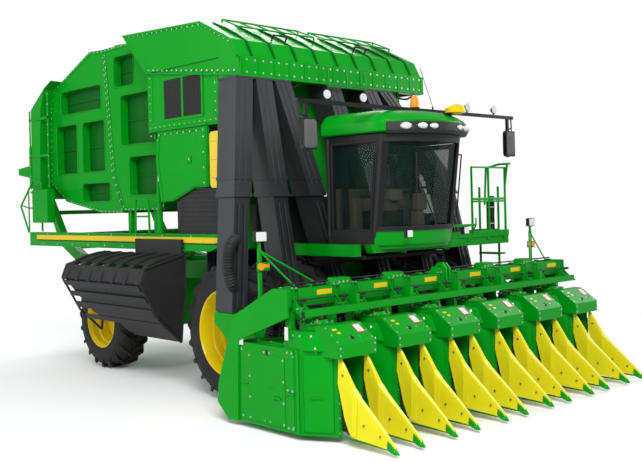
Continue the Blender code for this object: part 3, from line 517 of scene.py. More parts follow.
# ---- stalk lifters -------------------------------------------------------------
def make_lifters(row):
    """Two moulded yellow dividers on each row, with a rounded ridge whose upward faces are paler, partly
    from wear and partly as painted highlight, and a steel tip.
    """
    x0 = (row - 3.5) * ROW_PITCH
    ridge = ((0.045, 0.118), (0.16, 0.225), (0.30, 0.350), (0.44, 0.470), (0.57, 0.580),
             (0.64, 0.650), (0.70, 0.745), (0.77, 0.850), (0.83, 0.935), (0.872, 0.985))
    keel = ((0.045, 0.072), (0.16, 0.082), (0.30, 0.098), (0.44, 0.112), (0.57, 0.125),
            (0.64, 0.135), (0.70, 0.175), (0.77, 0.320), (0.83, 0.540), (0.872, 0.690))
    width = (0.020, 0.030, 0.042, 0.054, 0.064, 0.068, 0.052, 0.046, 0.042, 0.038)
    for side, hand in ((-1, "right"), (1, "left")):
        mesh = bmesh.new()
        x = x0 + side * 0.205
        sections = []
        for (y, top), (_, low), wide in zip(ridge, keel, width):
            crown = 0.55 * wide
            ring = []
            for a in (180, 150, 120, 90, 60, 30, 0):
                a = math.radians(a)
                ring.append((x + crown * math.cos(a), y, top - crown * (1 - math.sin(a))))
            for share in (0.35, 0.7, 1.0):
                flare = crown + (wide - crown) * share ** 1.4
                ring.append((x + flare, y, top - crown + (low - top + crown) * share))
            for share in (1.0, 0.7, 0.35):
                flare = crown + (wide - crown) * share ** 1.4
                ring.append((x - flare, y, top - crown + (low - top + crown) * share))
            sections.append(ring)
        add_loft(mesh, sections)
        # the upper shell laps over the lower one
        lap = []
        for (y, top), (_, low), wide in list(zip(ridge, keel, width))[4:6]:
            crown = 0.55 * wide + 0.006
            ring = [(x + crown * math.cos(math.radians(a)), y,
                     top + 0.006 - crown * (1 - math.sin(math.radians(a))))
                    for a in (180, 150, 120, 90, 60, 30, 0)]
            low += 0.02
            ring += [(x + wide + 0.006, y, low), (x - wide - 0.006, y, low)]
            lap.append(ring)
        add_loft(mesh, lap)
        piece = show(f"lifter_{row}_{hand}", mesh, "lifter_yellow", "header", smooth=True)
        # the upward faces of the ridge get the paler yellow: partly wear, partly painted highlight
        paint_faces(piece, "ridge_yellow_wear_and_highlight", lambda middle, normal: normal.z > 0.55
                    and abs(normal.x) < 0.75 and middle.z > 0.12)
        if side < 0:
            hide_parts(f"stalk_lifters_{row}")
        mesh = bmesh.new()
        add_loft(mesh, [[(x + u * wide, y, z + v * high) for u, v in
                         ((-1, -1), (1, -1), (0.8, 0.5), (0, 1), (-0.8, 0.5))]
                        for y, z, wide, high in ((0.150, 0.135, 0.032, 0.055),
                                                 (0.100, 0.105, 0.030, 0.050),
                                                 (0.045, 0.070, 0.022, 0.034),
                                                 (0.003, 0.048, 0.006, 0.010))])
        add_rod(mesh, (x, 0.06, 0.066), (x, 0.86, 0.090), 0.011, 8)
        add_rod(mesh, (x, 0.86, 0.090), (x, 0.89, 0.16), 0.011, 8)
        show(f"lifter_{row}_{hand}_tip", mesh, GREEN, "header")
        mesh = bmesh.new()
        for face_side in (-1, 1):
            for y, z, wide in ((0.24, 0.20, 0.040), (0.47, 0.28, 0.052), (0.80, 0.78, 0.030),
                               (0.14, 0.12, 0.030)):
                add_bolt(mesh, (x + face_side * wide, y, z), (face_side, 0, 0.15), 0.009)
        show(f"lifter_{row}_{hand}_bolts", mesh, "worn_steel", "header")


# ---- header --------------------------------------------------------------------
def make_unit_details(row):
    """Panels, latches, hood, gear cover, hoses and fittings of one row unit."""
    x0 = (row - 3.5) * ROW_PITCH
    name = f"unit_{row}_"
    mesh = bmesh.new()
    for side in (-1, 1):
        # door on the slanted face, from the throat to the outer wall
        a, b = Vector((x0 + side * 0.225, 0.938, 0)), Vector((x0 + side * 0.415, 1.265, 0))
        along = (b - a).normalized()
        out = Vector((side * abs(along.y), -abs(along.x), 0))
        for low, high, first, last in ((0.115, 0.985, 0.03, 0.97),):
            p, q = a.lerp(b, first) + out * 0.002, a.lerp(b, last) + out * 0.002
            add_loft(mesh, [[p + Vector((0, 0, low)), q + Vector((0, 0, low)),
                             q + Vector((0, 0, high)), p + Vector((0, 0, high))],
                            [p + out * 0.010 + Vector((0, 0, low + 0.008)) + along * 0.008,
                             q + out * 0.010 + Vector((0, 0, low + 0.008)) - along * 0.008,
                             q + out * 0.010 + Vector((0, 0, high - 0.008)) - along * 0.008,
                             p + out * 0.010 + Vector((0, 0, high - 0.008)) + along * 0.008]])
        middle = a.lerp(b, 0.55) + out * 0.012
        add_rod(mesh, middle + Vector((0, 0, 0.50)) - along * 0.07,
                middle + Vector((0, 0, 0.50)) + along * 0.07 + out * 0.01, 0.012, 10)
        add_box(mesh, (x0 + side * 0.185 - 0.008, x0 + side * 0.185 + 0.008), (0.885, 0.90),
                (0.10, 0.86), 0.003)
        # side doors of the cabinet
        for y0, y1 in ((1.36, 1.84), (1.88, 2.36)):
            w = x0 + side * 0.437
            add_box(mesh, (w - 0.005, w + 0.005), (y0, y1), (0.12, 0.98), 0.003)
            add_rod(mesh, (w + side * 0.006, y1 - 0.14, 0.55), (w + side * 0.014, y1 - 0.02, 0.56),
                    0.011, 10)
    # folded hood over the throat, with its side flanges
    add_prism(mesh, ((0.785, 0.965), (0.785, 1.118), (1.045, 1.302), (1.17, 1.302),
                     (1.17, 1.286), (1.052, 1.286), (0.803, 1.108), (0.803, 0.965)),
              "x", x0 - 0.298, x0 + 0.298)
    for side in (-1, 1):
        w = x0 + side * 0.296
        add_prism(mesh, ((0.79, 0.968), (0.79, 1.115), (1.05, 1.298), (1.165, 1.298),
                         (1.165, 0.968)), "x", w - 0.004, w + 0.004)
    # covers beside the hood, narrower towards the front
    for side, high in ((-1, 1.235), (1, 1.16)):
        rings = []
        for z, inset in ((1.03, 0.0), (high - 0.02, 0.0), (high, 0.018)):
            slant = 0.10 * (z - 1.03) / 0.2
            rings.append([(x0 + side * u, y, z) for u, y in (
                (0.292, 0.99 + inset + slant), (0.405 - inset, 1.22 + inset + slant),
                (0.405 - inset, 1.58 - inset), (0.292, 1.58 - inset))])
        add_loft(mesh, rings)
    # deck covers and the round gear cover
    add_box(mesh, (x0 + 0.13, x0 + 0.33), (1.62, 2.30), (1.038, 1.060), 0.006)
    add_box(mesh, (x0 - 0.33, x0 - 0.20), (1.66, 2.20), (1.038, 1.056), 0.006)
    add_rod(mesh, (x0 - 0.09, 1.37, 1.30), (x0 - 0.09, 1.37, 1.316), 0.214, 32)
    add_rod(mesh, (x0 - 0.09, 1.37, 1.31), (x0 - 0.09, 1.37, 1.345), 0.150, 28, 0.135)
    add_rod(mesh, (x0 - 0.09, 1.37, 1.34), (x0 - 0.09, 1.37, 1.375), 0.045, 16)
    add_rod(mesh, (x0 - 0.09, 1.37, 1.10), (x0 - 0.09, 1.37, 1.13), 0.212, 32)
    add_box(mesh, (x0 + 0.12, x0 + 0.30), (1.20, 1.42), (1.03, 1.17), 0.012)
    add_rod(mesh, (x0 + 0.21, 1.31, 1.16), (x0 + 0.21, 1.31, 1.24), 0.055, 18, 0.045)
    show(name + "panels", mesh, GREEN, "header")
    mesh = bmesh.new()
    rows = []
    for side in (-1, 1):
        for y0, y1 in ((1.36, 1.84), (1.88, 2.36)):
            w = x0 + side * 0.443
            for z in (0.15, 0.95):
                rows.append(((w, y0 + 0.03, z), (w, y1 - 0.03, z), 2, (side, 0, 0)))
        rows.append(((x0 + side * 0.19, 0.899, 0.12), (x0 + side * 0.19, 0.899, 0.94), 6,
                     (0, -1, 0)))
        rows.append(((x0 + side * 0.27, 0.785, 1.00), (x0 + side * 0.27, 0.785, 1.08), 2,
                     (0, -1, 0)))
        rows.append(((x0 + side * 0.27, 0.83, 1.148), (x0 + side * 0.27, 1.02, 1.284), 3,
                     (0, -0.57, 0.82)))
    for side, high in ((-1, 1.19), (1, 1.12)):
        rows.append(((x0 + side * 0.407, 1.30, high), (x0 + side * 0.407, 1.54, high), 3,
                     (side, 0, 0)))
        rows.append(((x0 + side * 0.345, 1.115, 1.06), (x0 + side * 0.345, 1.18, high), 2,
                     (side * 0.8, -0.6, 0.3)))
    rows.append(((x0 + 0.15, 1.65, 1.060), (x0 + 0.15, 2.27, 1.060), 4, (0, 0, 1)))
    rows.append(((x0 + 0.31, 1.65, 1.060), (x0 + 0.31, 2.27, 1.060), 4, (0, 0, 1)))
    rows.append(((x0 - 0.31, 1.69, 1.056), (x0 - 0.31, 2.17, 1.056), 3, (0, 0, 1)))
    rows.append(((x0 - 0.05, 0.86, 1.17), (x0 + 0.10, 0.86, 1.17), 2, (0, -0.57, 0.82)))
    add_bolts(mesh, rows, 0.009)
    for step in range(12):
        a = 2 * math.pi * step / 12
        add_bolt(mesh, (x0 - 0.09 + 0.185 * math.cos(a), 1.37 + 0.185 * math.sin(a), 1.316),
                 (0, 0, 1), 0.009)
    show(name + "bolts", mesh, "bright_steel", "header")
    mesh = bmesh.new()
    tilt = Matrix.Rotation(math.radians(35.3), 4, "X")
    add_box(mesh, (x0 + 0.135, x0 + 0.235), (0.90, 1.02), (1.245, 1.249), 0.0, tilt)
    show(name + "label", mesh, "blank_label", "header")
    mesh = bmesh.new()
    add_box(mesh, (x0 + 0.128, x0 + 0.242), (0.888, 1.032), (1.2435, 1.2465), 0.0, tilt)
    show(name + "label_edge", mesh, "red_lens", "header")
    mesh = bmesh.new()
    add_box(mesh, (x0 - 0.20, x0 - 0.14), (0.97, 1.00), (1.2575, 1.2615), 0.0, tilt)
    add_box(mesh, (x0 - 0.17, x0 - 0.12), (0.92, 0.95), (1.2225, 1.2265), 0.0, tilt)
    show(name + "marks", mesh, YELLOW, "header")
    mesh = bmesh.new()
    add_rod(mesh, (x0 - 0.02, 0.862, 1.165), (x0 - 0.02, 0.857, 1.1755), 0.030, 16)
    for side in (-1, 1):
        # painted shade: dark pieces in the gap round the lifter's foot and along the cabinet's doors,
        # where shade falls
        add_box(mesh, (x0 + side * 0.437 - 0.006, x0 + side * 0.437 + 0.006), (1.842, 1.878),
                (0.12, 0.98))
        add_hose(mesh, ((x0 + side * 0.178, 0.89, 0.86), (x0 + side * 0.176, 0.885, 0.40),
                        (x0 + side * 0.172, 0.86, 0.22), (x0 + side * 0.168, 0.78, 0.12)), 0.012, 8)
    add_hose(mesh, ((x0 + 0.02, 1.46, 1.33), (x0 + 0.10, 1.56, 1.40), (x0 + 0.20, 1.70, 1.30),
                    (x0 + 0.23, 1.78, 1.07)), 0.016, 8)
    add_hose(mesh, ((x0 - 0.30, 1.62, 1.42), (x0 - 0.27, 1.75, 1.30), (x0 - 0.20, 1.80, 1.16),
                    (x0 - 0.12, 1.90, 1.05)), 0.018, 8)
    # this piece also holds the dark strips of painted shade in the door gaps
    show(name + "hoses", mesh, "hose_rubber", "header", smooth=True)
    mesh = bmesh.new()
    add_hose(mesh, ((x0 - 0.02, 1.70, 1.00), (x0 - 0.02, 1.88, 1.22), (x0 + 0.0, 2.06, 1.30),
                    (x0 + 0.02, 2.26, 1.22), (x0 + 0.02, 2.34, 1.02)), 0.085, 16, 0.006, 0.035)
    show(name + "elbow_hose", mesh, "black_plastic", "header", smooth=True)
    mesh = bmesh.new()
    draw = random.Random(row)
    for _ in range(9):
        x, y = x0 - 0.25 + 0.5 * draw.random(), 1.22 + 0.30 * draw.random()
        z = 1.316 if (x - x0 + 0.09) ** 2 + (y - 1.37) ** 2 < 0.04 else 1.04
        add_rod(mesh, (x, y, z - 0.005), (x, y, z + 0.025), 0.011, 8)
        add_rod(mesh, (x, y, z + 0.02), (x, y, z + 0.05), 0.006, 8)
    show(name + "fittings", mesh, "brass_fitting", "header", smooth=False)


def make_toolbar_details():
    mesh, steel, dark, tape = (bmesh.new() for _ in range(4))
    for row in ROWS:
        x0 = (row - 3.5) * ROW_PITCH
        for x in (x0 - 0.33, x0 + 0.33):
            # hanger: two straps over the bar and a clevis in front
            for w in (-0.042, 0.034):
                add_prism(mesh, ((1.455, 1.715), (1.455, 1.46), (1.30, 1.40), (1.27, 1.46),
                                 (1.44, 1.60), (1.44, 1.715)), "x", x + w, x + w + 0.010, 0.002)
            add_box(mesh, (x - 0.05, x + 0.05), (1.44, 1.70), (1.700, 1.716), 0.004)
            add_rod(steel, (x - 0.055, 1.36, 1.49), (x + 0.058, 1.36, 1.49), 0.012, 10)
            add_rod(dark, (x - 0.062, 1.26, 1.44), (x + 0.062, 1.26, 1.44), 0.030, 14)
            add_rod(dark, (x - 0.05, 1.33, 1.585), (x + 0.05, 1.33, 1.585), 0.020, 12)
            add_bolts(steel, [((x - 0.03, 1.47, 1.716), (x - 0.03, 1.67, 1.716), 2, (0, 0, 1)),
                              ((x + 0.03, 1.47, 1.716), (x + 0.03, 1.67, 1.716), 2, (0, 0, 1))],
                      0.008)
            add_box(mesh, (x - 0.045, x + 0.045), (1.49, 1.61), (1.12, 1.14), 0.004)
        add_box(tape, (x0 + 0.02, x0 + 0.26), (1.466, 1.4695), (1.61, 1.67))
    for gap in range(-2, 3):
        x = gap * ROW_PITCH
        add_bolts(steel, [((x - 0.07, 1.50, 1.73), (x + 0.07, 1.50, 1.73), 3, (0, -1, 0))], 0.010)
        add_rod(steel, (x - 0.02, 1.497, 1.69), (x + 0.02, 1.497, 1.69), 0.006, 8)
    add_rod(dark, (-2.84, 1.235, 1.405), (2.84, 1.235, 1.405), 0.010, 8)
    add_rod(dark, (-2.82, 1.43, 1.575), (2.82, 1.43, 1.575), 0.008, 8)
    # middle hinge of the bar
    for x in (-0.035, 0.035):
        add_prism(mesh, ((1.44, 1.40), (1.44, 1.76), (1.50, 1.84), (1.60, 1.84), (1.66, 1.76),
                         (1.66, 1.70), (1.46, 1.70), (1.46, 1.40)), "x", x - 0.012, x + 0.012,
                  0.003)
    add_rod(dark, (-0.06, 1.55, 1.775), (0.06, 1.55, 1.775), 0.022, 14)
    # lift arm collars and hydraulic lines behind the bar
    for side in (-1, 1):
        add_box(mesh, (side * 0.15 - 0.07, side * 0.15 + 0.07), (1.69, 1.78), (1.50, 1.69), 0.006)
        for low, high in ((1.70, 1.715), (1.735, 1.75)):
            add_rod(dark, (side * 0.25, 1.60 + low - 1.70, low + 0.012),
                    (side * 2.75, 1.60 + low - 1.70, low + 0.012), 0.010, 8)
        for step in range(8):
            x = side * (0.40 + step * 0.33)
            add_box(mesh, (x - 0.02, x + 0.02), (1.585, 1.665), (1.700, 1.73), 0.003)
    show("toolbar_fittings", mesh, GREEN, "header")
    show("toolbar_bolts", steel, "bright_steel", "header")
    show("toolbar_pins", dark, "black_plastic", "header")
    show("toolbar_reflectors", tape, YELLOW, "header")
    for side, name in SIDES:
        body = "header"
        half = side * 2.877
        mesh = bmesh.new()
        # folded edge and door of the end panel
        add_prism(mesh, ((1.30, 0.085), (1.30, 1.02), (1.345, 1.02), (1.345, 0.085)), "x",
                  *sorted((side * 2.848, side * 2.862)), 0.003)
        for y0, y1, z0, z1 in ((1.38, 1.50, 0.10, 1.02), (1.54, 2.20, 0.12, 0.92)):
            add_box(mesh, tuple(sorted((side * 2.848, side * 2.862))), (y0, y1), (z0, z1), 0.004)
        for y, z in ((1.46, 0.52), (1.70, 0.44)):
            add_rod(mesh, (side * 2.866, y - 0.09, z), (side * 2.872, y + 0.02, z + 0.004), 0.013)
            add_box(mesh, tuple(sorted((side * 2.858, side * 2.868))), (y + 0.01, y + 0.05),
                    (z - 0.03, z + 0.03), 0.003)
        # marker post with its two stays
        x = side * 2.80
        foot = Vector((x, 2.02, 1.30))
        add_box(mesh, (x - 0.02, x + 0.02), (2.00, 2.04), (1.28, 2.16), 0.004)
        add_rod(mesh, (x, 2.02, 2.14), (side * 2.60, 1.60, 1.70), 0.011)
        add_rod(mesh, (x, 2.02, 2.14), (side * 2.20, 1.62, 1.70), 0.011)
        add_box(mesh, tuple(sorted((side * 2.67, side * 2.865))), (1.985, 1.995), (1.90, 2.00), 0.003)
        add_box(mesh, (x - 0.015, x + 0.015), (2.005, 2.035), (2.12, 2.26), 0.003)
        show(f"header_{name}_end", mesh, GREEN, body)
        mesh = bmesh.new()
        add_box(mesh, (x - 0.085, x + 0.085), (1.98, 2.04), (2.24, 2.37), 0.012)
        show(f"marker_{name}_lamp", mesh, "black_plastic", body)
        mesh = bmesh.new()
        add_box(mesh, (x - 0.075, x + 0.075), (1.966, 1.984), (2.25, 2.36), 0.008)
        show(f"marker_{name}_lens", mesh, "blank_label", body)
        mesh = bmesh.new()
        add_rod(mesh, (side * 2.815, 1.984, 1.95), (side * 2.815, 1.966, 1.95), 0.042, 20)
        add_box(mesh, tuple(sorted((side * 2.68, side * 2.765))), (1.980, 1.985), (1.935, 1.975))
        show(f"marker_{name}_reflector", mesh, "amber_lens", body)
        mesh = bmesh.new()
        w = side * 2.862
        add_bolts(mesh, [((w, 1.56, 0.15), (w, 1.56, 0.89), 4, (side, 0, 0)),
                         ((w, 2.18, 0.15), (w, 2.18, 0.89), 4, (side, 0, 0)),
                         ((w, 1.40, 0.13), (w, 1.40, 0.99), 3, (side, 0, 0)),
                         ((w, 1.48, 0.13), (w, 1.48, 0.99), 3, (side, 0, 0)),
                         ((w - side * 0.006, 1.50, 1.62), (w - side * 0.006, 1.62, 1.62), 2,
                          (side, 0, 0)),
                         ((w - side * 0.006, 2.00, 1.30), (w - side * 0.006, 2.40, 1.13), 3,
                          (side, 0, 0))], 0.009)
        show(f"header_{name}_end_bolts", mesh, "bright_steel", body)
        mesh = bmesh.new()
        add_box(mesh, tuple(sorted((side * 2.8575, side * 2.8600))), (2.30, 2.38), (1.00, 1.12))
        add_box(mesh, tuple(sorted((side * 2.8575, side * 2.8600))), (1.46, 1.52), (1.13, 1.28))
        show(f"header_{name}_end_labels", mesh, "blank_label", body)
        mesh = bmesh.new()
        for y in (1.515, 1.605):
            add_box(mesh, tuple(sorted((side * 2.8575, side * 2.8600))), (y, y + 0.08), (1.55, 1.66))
        show(f"header_{name}_end_tabs", mesh, "amber_lens", body)


# ---- upper body ----------------------------------------------------------------
def make_stripes():
    """Yellow and black bands along the side beams, which stay plain."""
    for side, name in SIDES:
        face = side * 1.901
        for finish, low, high, first in (("yellow_paint", 2.150, 2.232, 4.02),
                                         (BLACK, 2.128, 2.144, 4.10)):
            mesh = bmesh.new()
            add_prism(mesh, ((first, (low + high) / 2 - 0.01), (first + 0.16, low), (9.85, low),
                             (9.85, high), (first + 0.02, high)), "x",
                      *sorted((face - side * 0.001, face + side * 0.0015)))
            show(f"stripe_{name}_{finish}", mesh, finish, "root")
        mesh = bmesh.new()
        add_bolts(mesh, [((face, 5.0, 2.07), (face, 9.6, 2.07), 9, (side, 0, 0)),
                         ((face, 4.75, 2.256), (face, 9.4, 2.256), 7, (side, 0, 0))], 0.012)
        show(f"beam_bolts_{name}", mesh, "bright_steel", "root")
        mesh = bmesh.new()
        for low in (2.03, 2.262):
            add_box(mesh, tuple(sorted((face - side * 0.004, face + side * 0.012))), (4.35, 10.12),
                    (low, low + 0.018), 0.004)
        show(f"beam_flanges_{name}", mesh, GREEN, "root")


def make_hood_details():
    """The gutter, ribs in a darker green as painted shadow lines, handles and mesh panels of the hood and
    the accumulator.
    """
    green, steel, black, ribs = (bmesh.new() for _ in range(4))
    # gutter along the front edge with its folded lip and gussets
    add_prism(green, ((3.452, 4.475), (3.452, 4.75), (3.490, 4.76), (3.498, 4.75), (3.466, 4.74),
                      (3.466, 4.49), (3.60, 4.474), (3.60, 4.462), (3.462, 4.462)), "x",
              -1.905, 1.905)
    for x in on_line((-1.86, 0, 0), (1.86, 0, 0), 14):
        add_prism(green, ((3.442, 4.50), (3.452, 4.50), (3.452, 4.74), (3.446, 4.74)), "x",
                  x.x - 0.02, x.x + 0.02)
    rows = [((-1.80, 3.450, 4.70), (1.80, 3.450, 4.70), 26, (0, -1, 0)),
            ((-1.80, 3.450, 4.53), (1.80, 3.450, 4.53), 26, (0, -1, 0))]
    # curved ribs over the hood's front, in the darker green as painted shadow lines
    front = ((3.52, 4.77), (3.58, 4.90), (3.65, 5.005), (3.85, 5.125), (4.12, 5.255), (4.38, 5.368),
             (4.90, 5.40), (5.60, 5.44))
    for x in on_line((-1.66, 0, 0), (1.66, 0, 0), 9):
        lift = [(y - 0.012 if y < 4.2 else y, z + 0.014) for y, z in front]
        add_prism(ribs, lift + [(y + 0.01, z - 0.015) for y, z in reversed(front)], "x",
                  x.x - 0.016, x.x + 0.016, 0.003)
    for x in (-0.95, 0.72):
        add_bar(black, ((x - 0.13, 3.78, 5.08), (x - 0.13, 3.73, 5.16), (x + 0.13, 3.73, 5.16),
                        (x + 0.13, 3.78, 5.08)), 0.014)
    # side skins: hinge line, folded edge and the two bolt rows
    for side in (-1, 1):
        w = side * 1.903
        add_prism(green, ((3.45, 4.47), (5.89, 4.785), (5.89, 4.80), (3.45, 4.50)), "x",
                  *sorted((w - side * 0.003, w + side * 0.008)))
        edge = ((3.52, 4.77), (3.65, 5.01), (4.39, 5.37), (6.585, 5.49))
        inner = [(y + 0.03, z - 0.035) for y, z in edge]
        add_prism(green, list(edge) + [(6.50, 5.448)] + inner[::-1][1:], "x",
                  *sorted((w - side * 0.003, w + side * 0.010)))
        rows += [((w, 3.72, 4.99), (w, 4.36, 5.315), 7, (side, 0, 0)),
                 ((w, 4.44, 5.33), (w, 6.50, 5.445), 16, (side, 0, 0)),
                 ((w, 3.60, 4.56), (w, 5.80, 4.83), 18, (side, 0, 0))]
        # accumulator side panels with a raised frame
        w = side * 1.883
        for y0, y1, z0, z1 in ((4.02, 5.86, 3.89, 4.00), (4.02, 4.14, 4.00, 4.62),
                               (5.74, 5.86, 4.00, 4.74)):
            add_box(green, tuple(sorted((w - side * 0.004, w + side * 0.006))), (y0, y1),
                    (z0, z1), 0.004)
        rows += [((w, 4.08, 3.93), (w, 5.80, 3.93), 14, (side, 0, 0)),
                 ((w, 4.08, 4.05), (w, 4.08, 4.58), 5, (side, 0, 0)),
                 ((w, 5.80, 4.05), (w, 5.80, 4.70), 6, (side, 0, 0))]
        rows += [((side * 1.885, 4.00, 3.80), (side * 1.885, 5.80, 3.80), 2, (side, 0, 0))]
    # step frame and cleat under the gutter, and the cross tie
    add_bar(green, ((-0.32, 3.40, 4.72), (-0.32, 3.38, 4.43), (0.46, 3.38, 4.43),
                    (0.46, 3.40, 4.72)), 0.012)
    add_rod(green, (0.07, 3.385, 4.43), (0.07, 3.40, 4.72), 0.011)
    add_bolts(steel, rows, 0.010)
    # walkway frames on the hood
    for first, last in ((-1.50, -0.02), (0.20, 1.70)):
        for y, z in ((4.02, 5.235), (4.40, 5.395)):
            add_bar(green, ((first, y, z), (first, y, z + 0.05), (last, y, z + 0.05),
                            (last, y, z)), 0.014)
        for x in on_line((first, 0, 0), (last, 0, 0), 6):
            add_rod(green, (x.x, 4.02, 5.285), (x.x, 4.40, 5.445), 0.011)
    show("hood_trim", green, GREEN, "root")
    show("hood_bolts", steel, "bright_steel", "root")
    show("hood_handles", black, "black_plastic", "root")
    # the ribs take the darker green as painted shade between the hood's panels
    show("hood_ribs", ribs, "green_painted_shade", "root")
    # round black rubber hose under the hood with its couplings
    for side, name in SIDES:
        mesh = bmesh.new()
        grid = bmesh.new()
        w = side * 1.886
        z0, z1, y0, y1 = 4.03, 4.62, 4.42, 5.40
        add_box(mesh, tuple(sorted((w - side * 0.003, w + side * 0.012))), (y0 - 0.04, y1 + 0.04),
                (z0 - 0.04, z0), 0.004)
        add_box(mesh, tuple(sorted((w - side * 0.003, w + side * 0.012))), (y0 - 0.04, y1 + 0.04),
                (z1, z1 + 0.04), 0.004)
        for y in (y0 - 0.04, (y0 + y1) / 2 - 0.02, y1):
            add_box(mesh, tuple(sorted((w - side * 0.003, w + side * 0.012))), (y, y + 0.04),
                    (z0, z1), 0.004)
        show(f"grille_frame_{name}", mesh, GREEN, "root")
        add_box(grid, tuple(sorted((w - side * 0.002, w + side * 0.001))), (y0, y1), (z0, z1))
        for step in range(1, 28):
            y = y0 + (y1 - y0) * step / 28
            add_box(grid, tuple(sorted((w, w + side * 0.006))), (y - 0.004, y + 0.004), (z0, z1))
        for step in range(1, 17):
            z = z0 + (z1 - z0) * step / 17
            add_box(grid, tuple(sorted((w, w + side * 0.008))), (y0, y1), (z - 0.004, z + 0.004))
        show(f"grille_mesh_{name}", grid, "black_plastic", "root")
    mesh = bmesh.new()
    for x, drop in ((-1.80, 0.18), (-1.74, 0.10)):
        add_hose(mesh, ((x, 3.50, 4.42), (x - 0.02, 3.62, 4.30 - drop), (x - 0.03, 3.90, 4.15 - drop),
                        (x - 0.04, 3.96, 3.70), (x - 0.06, 3.97, 3.10)), 0.022, 10)
    for x in (-1.2, -0.3, 0.5, 1.3):
        add_hose(mesh, ((x, 3.50, 4.45), (x + 0.1, 3.56, 4.39), (x + 0.3, 3.56, 4.38),
                        (x + 0.42, 3.50, 4.45)), 0.016, 8)
    show("hood_hoses", mesh, "hose_rubber", "root", smooth=True)
    mesh = bmesh.new()
    for z in (2.86, 3.855):
        add_box(mesh, (-1.30 if z < 3 else -1.88, 1.30 if z < 3 else 1.88), (3.955, 3.97),
                (z, z + 0.03), 0.004)
    for x in (-1.55, -0.9, 0.0, 0.9, 1.55):
        add_box(mesh, (x - 0.02, x + 0.02), (3.945, 3.972), (3.88, 4.76), 0.004)
    show("accumulator_ribs", mesh, GREEN, "root")


def make_engine_bay():
    """Black shields and guards that close the bay behind the front axle and under the cab."""
    mesh = bmesh.new()
    add_box(mesh, (-1.72, 1.72), (4.60, 4.63), (0.95, 2.04), 0.006)
    for x in on_line((-1.6, 0, 0), (1.6, 0, 0), 9):
        add_box(mesh, (x.x - 0.03, x.x + 0.03), (4.575, 4.60), (0.98, 2.03), 0.006)
    add_box(mesh, (-1.30, 1.30), (3.92, 3.95), (1.76, 2.80), 0.006)
    add_box(mesh, (-0.84, 0.84), (2.20, 2.84), (1.90, 1.955), 0.02)
    for side in (-1, 1):
        for x, y, z in ((0.72, 3.40, 1.80), (0.60, 3.30, 1.90)):
            add_hose(mesh, ((side * x, 3.90, z + 0.2), (side * x, y, z),
                            (side * (x - 0.15), y - 0.35, z + 0.05),
                            (side * (x - 0.20), y - 0.75, z + 0.10)), 0.035, 12)
    show("engine_bay_shields", mesh, "hose_rubber", "root")


def make_service_side():
    """Folded panels, the water tank and the small tanks of both sides."""
    green, steel = bmesh.new(), bmesh.new()
    w = -1.882
    outline = ((5.60, 3.84), (4.34, 3.84), (4.34, 2.99), (4.66, 2.99), (5.23, 2.80), (5.55, 2.79),
               (5.66, 3.43))
    middle = Vector((5.0, 3.4))
    inner = [tuple(middle + (Vector(p) - middle) * 0.93) for p in outline]
    for a, b, c, d in zip(outline, outline[1:] + outline[:1], inner[1:] + inner[:1], inner):
        add_prism(green, (a, b, c, d), "x", w - 0.008, w + 0.002)
    add_prism(green, ((5.62, 3.86), (4.32, 3.86), (4.32, 3.89), (5.63, 3.89)), "x",
              w - 0.030, w + 0.002, 0.004)
    add_box(green, (w - 0.012, w), (4.72, 4.82), (3.34, 3.44), 0.004)
    add_bolts(steel, [((w - 0.008, 4.40, 3.80), (w - 0.008, 5.56, 3.80), 8, (-1, 0, 0)),
                      ((w - 0.008, 4.40, 3.03), (w - 0.008, 4.40, 3.70), 4, (-1, 0, 0)),
                      ((w - 0.012, 4.77, 3.39), (w - 0.012, 4.77, 3.39), 1, (-1, 0, 0))], 0.010)
    # upright jack with its chrome rod
    add_rod(green, (-1.72, 5.86, 2.30), (-1.72, 5.86, 3.10), 0.045, 18)
    add_rod(green, (-1.72, 5.86, 2.28), (-1.72, 5.86, 2.36), 0.058, 18)
    add_rod(steel, (-1.72, 5.86, 3.08), (-1.72, 5.86, 3.80), 0.024, 16)
    add_rod(green, (-1.78, 5.86, 3.80), (-1.64, 5.86, 3.80), 0.040, 16)
    # tubes between the tank and the chamber
    add_bar(green, ((-1.83, 6.00, 2.28), (-1.83, 6.02, 2.80), (-1.83, 6.40, 2.84),
                    (-1.83, 6.42, 2.28)), 0.018)
    add_rod(green, (-1.83, 6.01, 2.55), (-1.83, 6.41, 2.55), 0.014)
    show("service_folds", green, GREEN, "root", smooth=None)
    show("service_bolts", steel, "bright_steel", "root")
    mesh = bmesh.new()
    for z in (3.10, 3.36, 3.62):
        add_prism(mesh, ((-1.866, 3.930), (-1.44, 3.930), (-1.44, 4.296), (-1.866, 4.296)), "z",
                  z - 0.008, z + 0.008, 0.006)
    add_rod(mesh, (-1.64, 4.10, 3.755), (-1.64, 4.10, 3.80), 0.075, 24)
    show("water_tank_bands", mesh, "yellow_poly", "root")
    mesh = bmesh.new()
    add_rod(mesh, (-1.64, 4.10, 3.80), (-1.64, 4.10, 3.83), 0.085, 24, 0.078)
    for side in (-1, 1):
        for step in range(9):
            z = 2.33 + 0.07 * step
            add_box(mesh, tuple(sorted((side * 1.826, side * 1.842))), (4.00, 5.18),
                    (z, z + 0.028), 0.005)
        add_box(mesh, (side * 1.63 - 0.20, side * 1.63 + 0.20), (3.972, 3.985), (2.30, 2.93), 0.01)
        for step in range(6):
            z = 2.36 + 0.09 * step
            add_box(mesh, (side * 1.63 - 0.17, side * 1.63 + 0.17), (3.960, 3.975),
                    (z, z + 0.03), 0.006)
    show("side_tank_ribs", mesh, "black_plastic", "root")


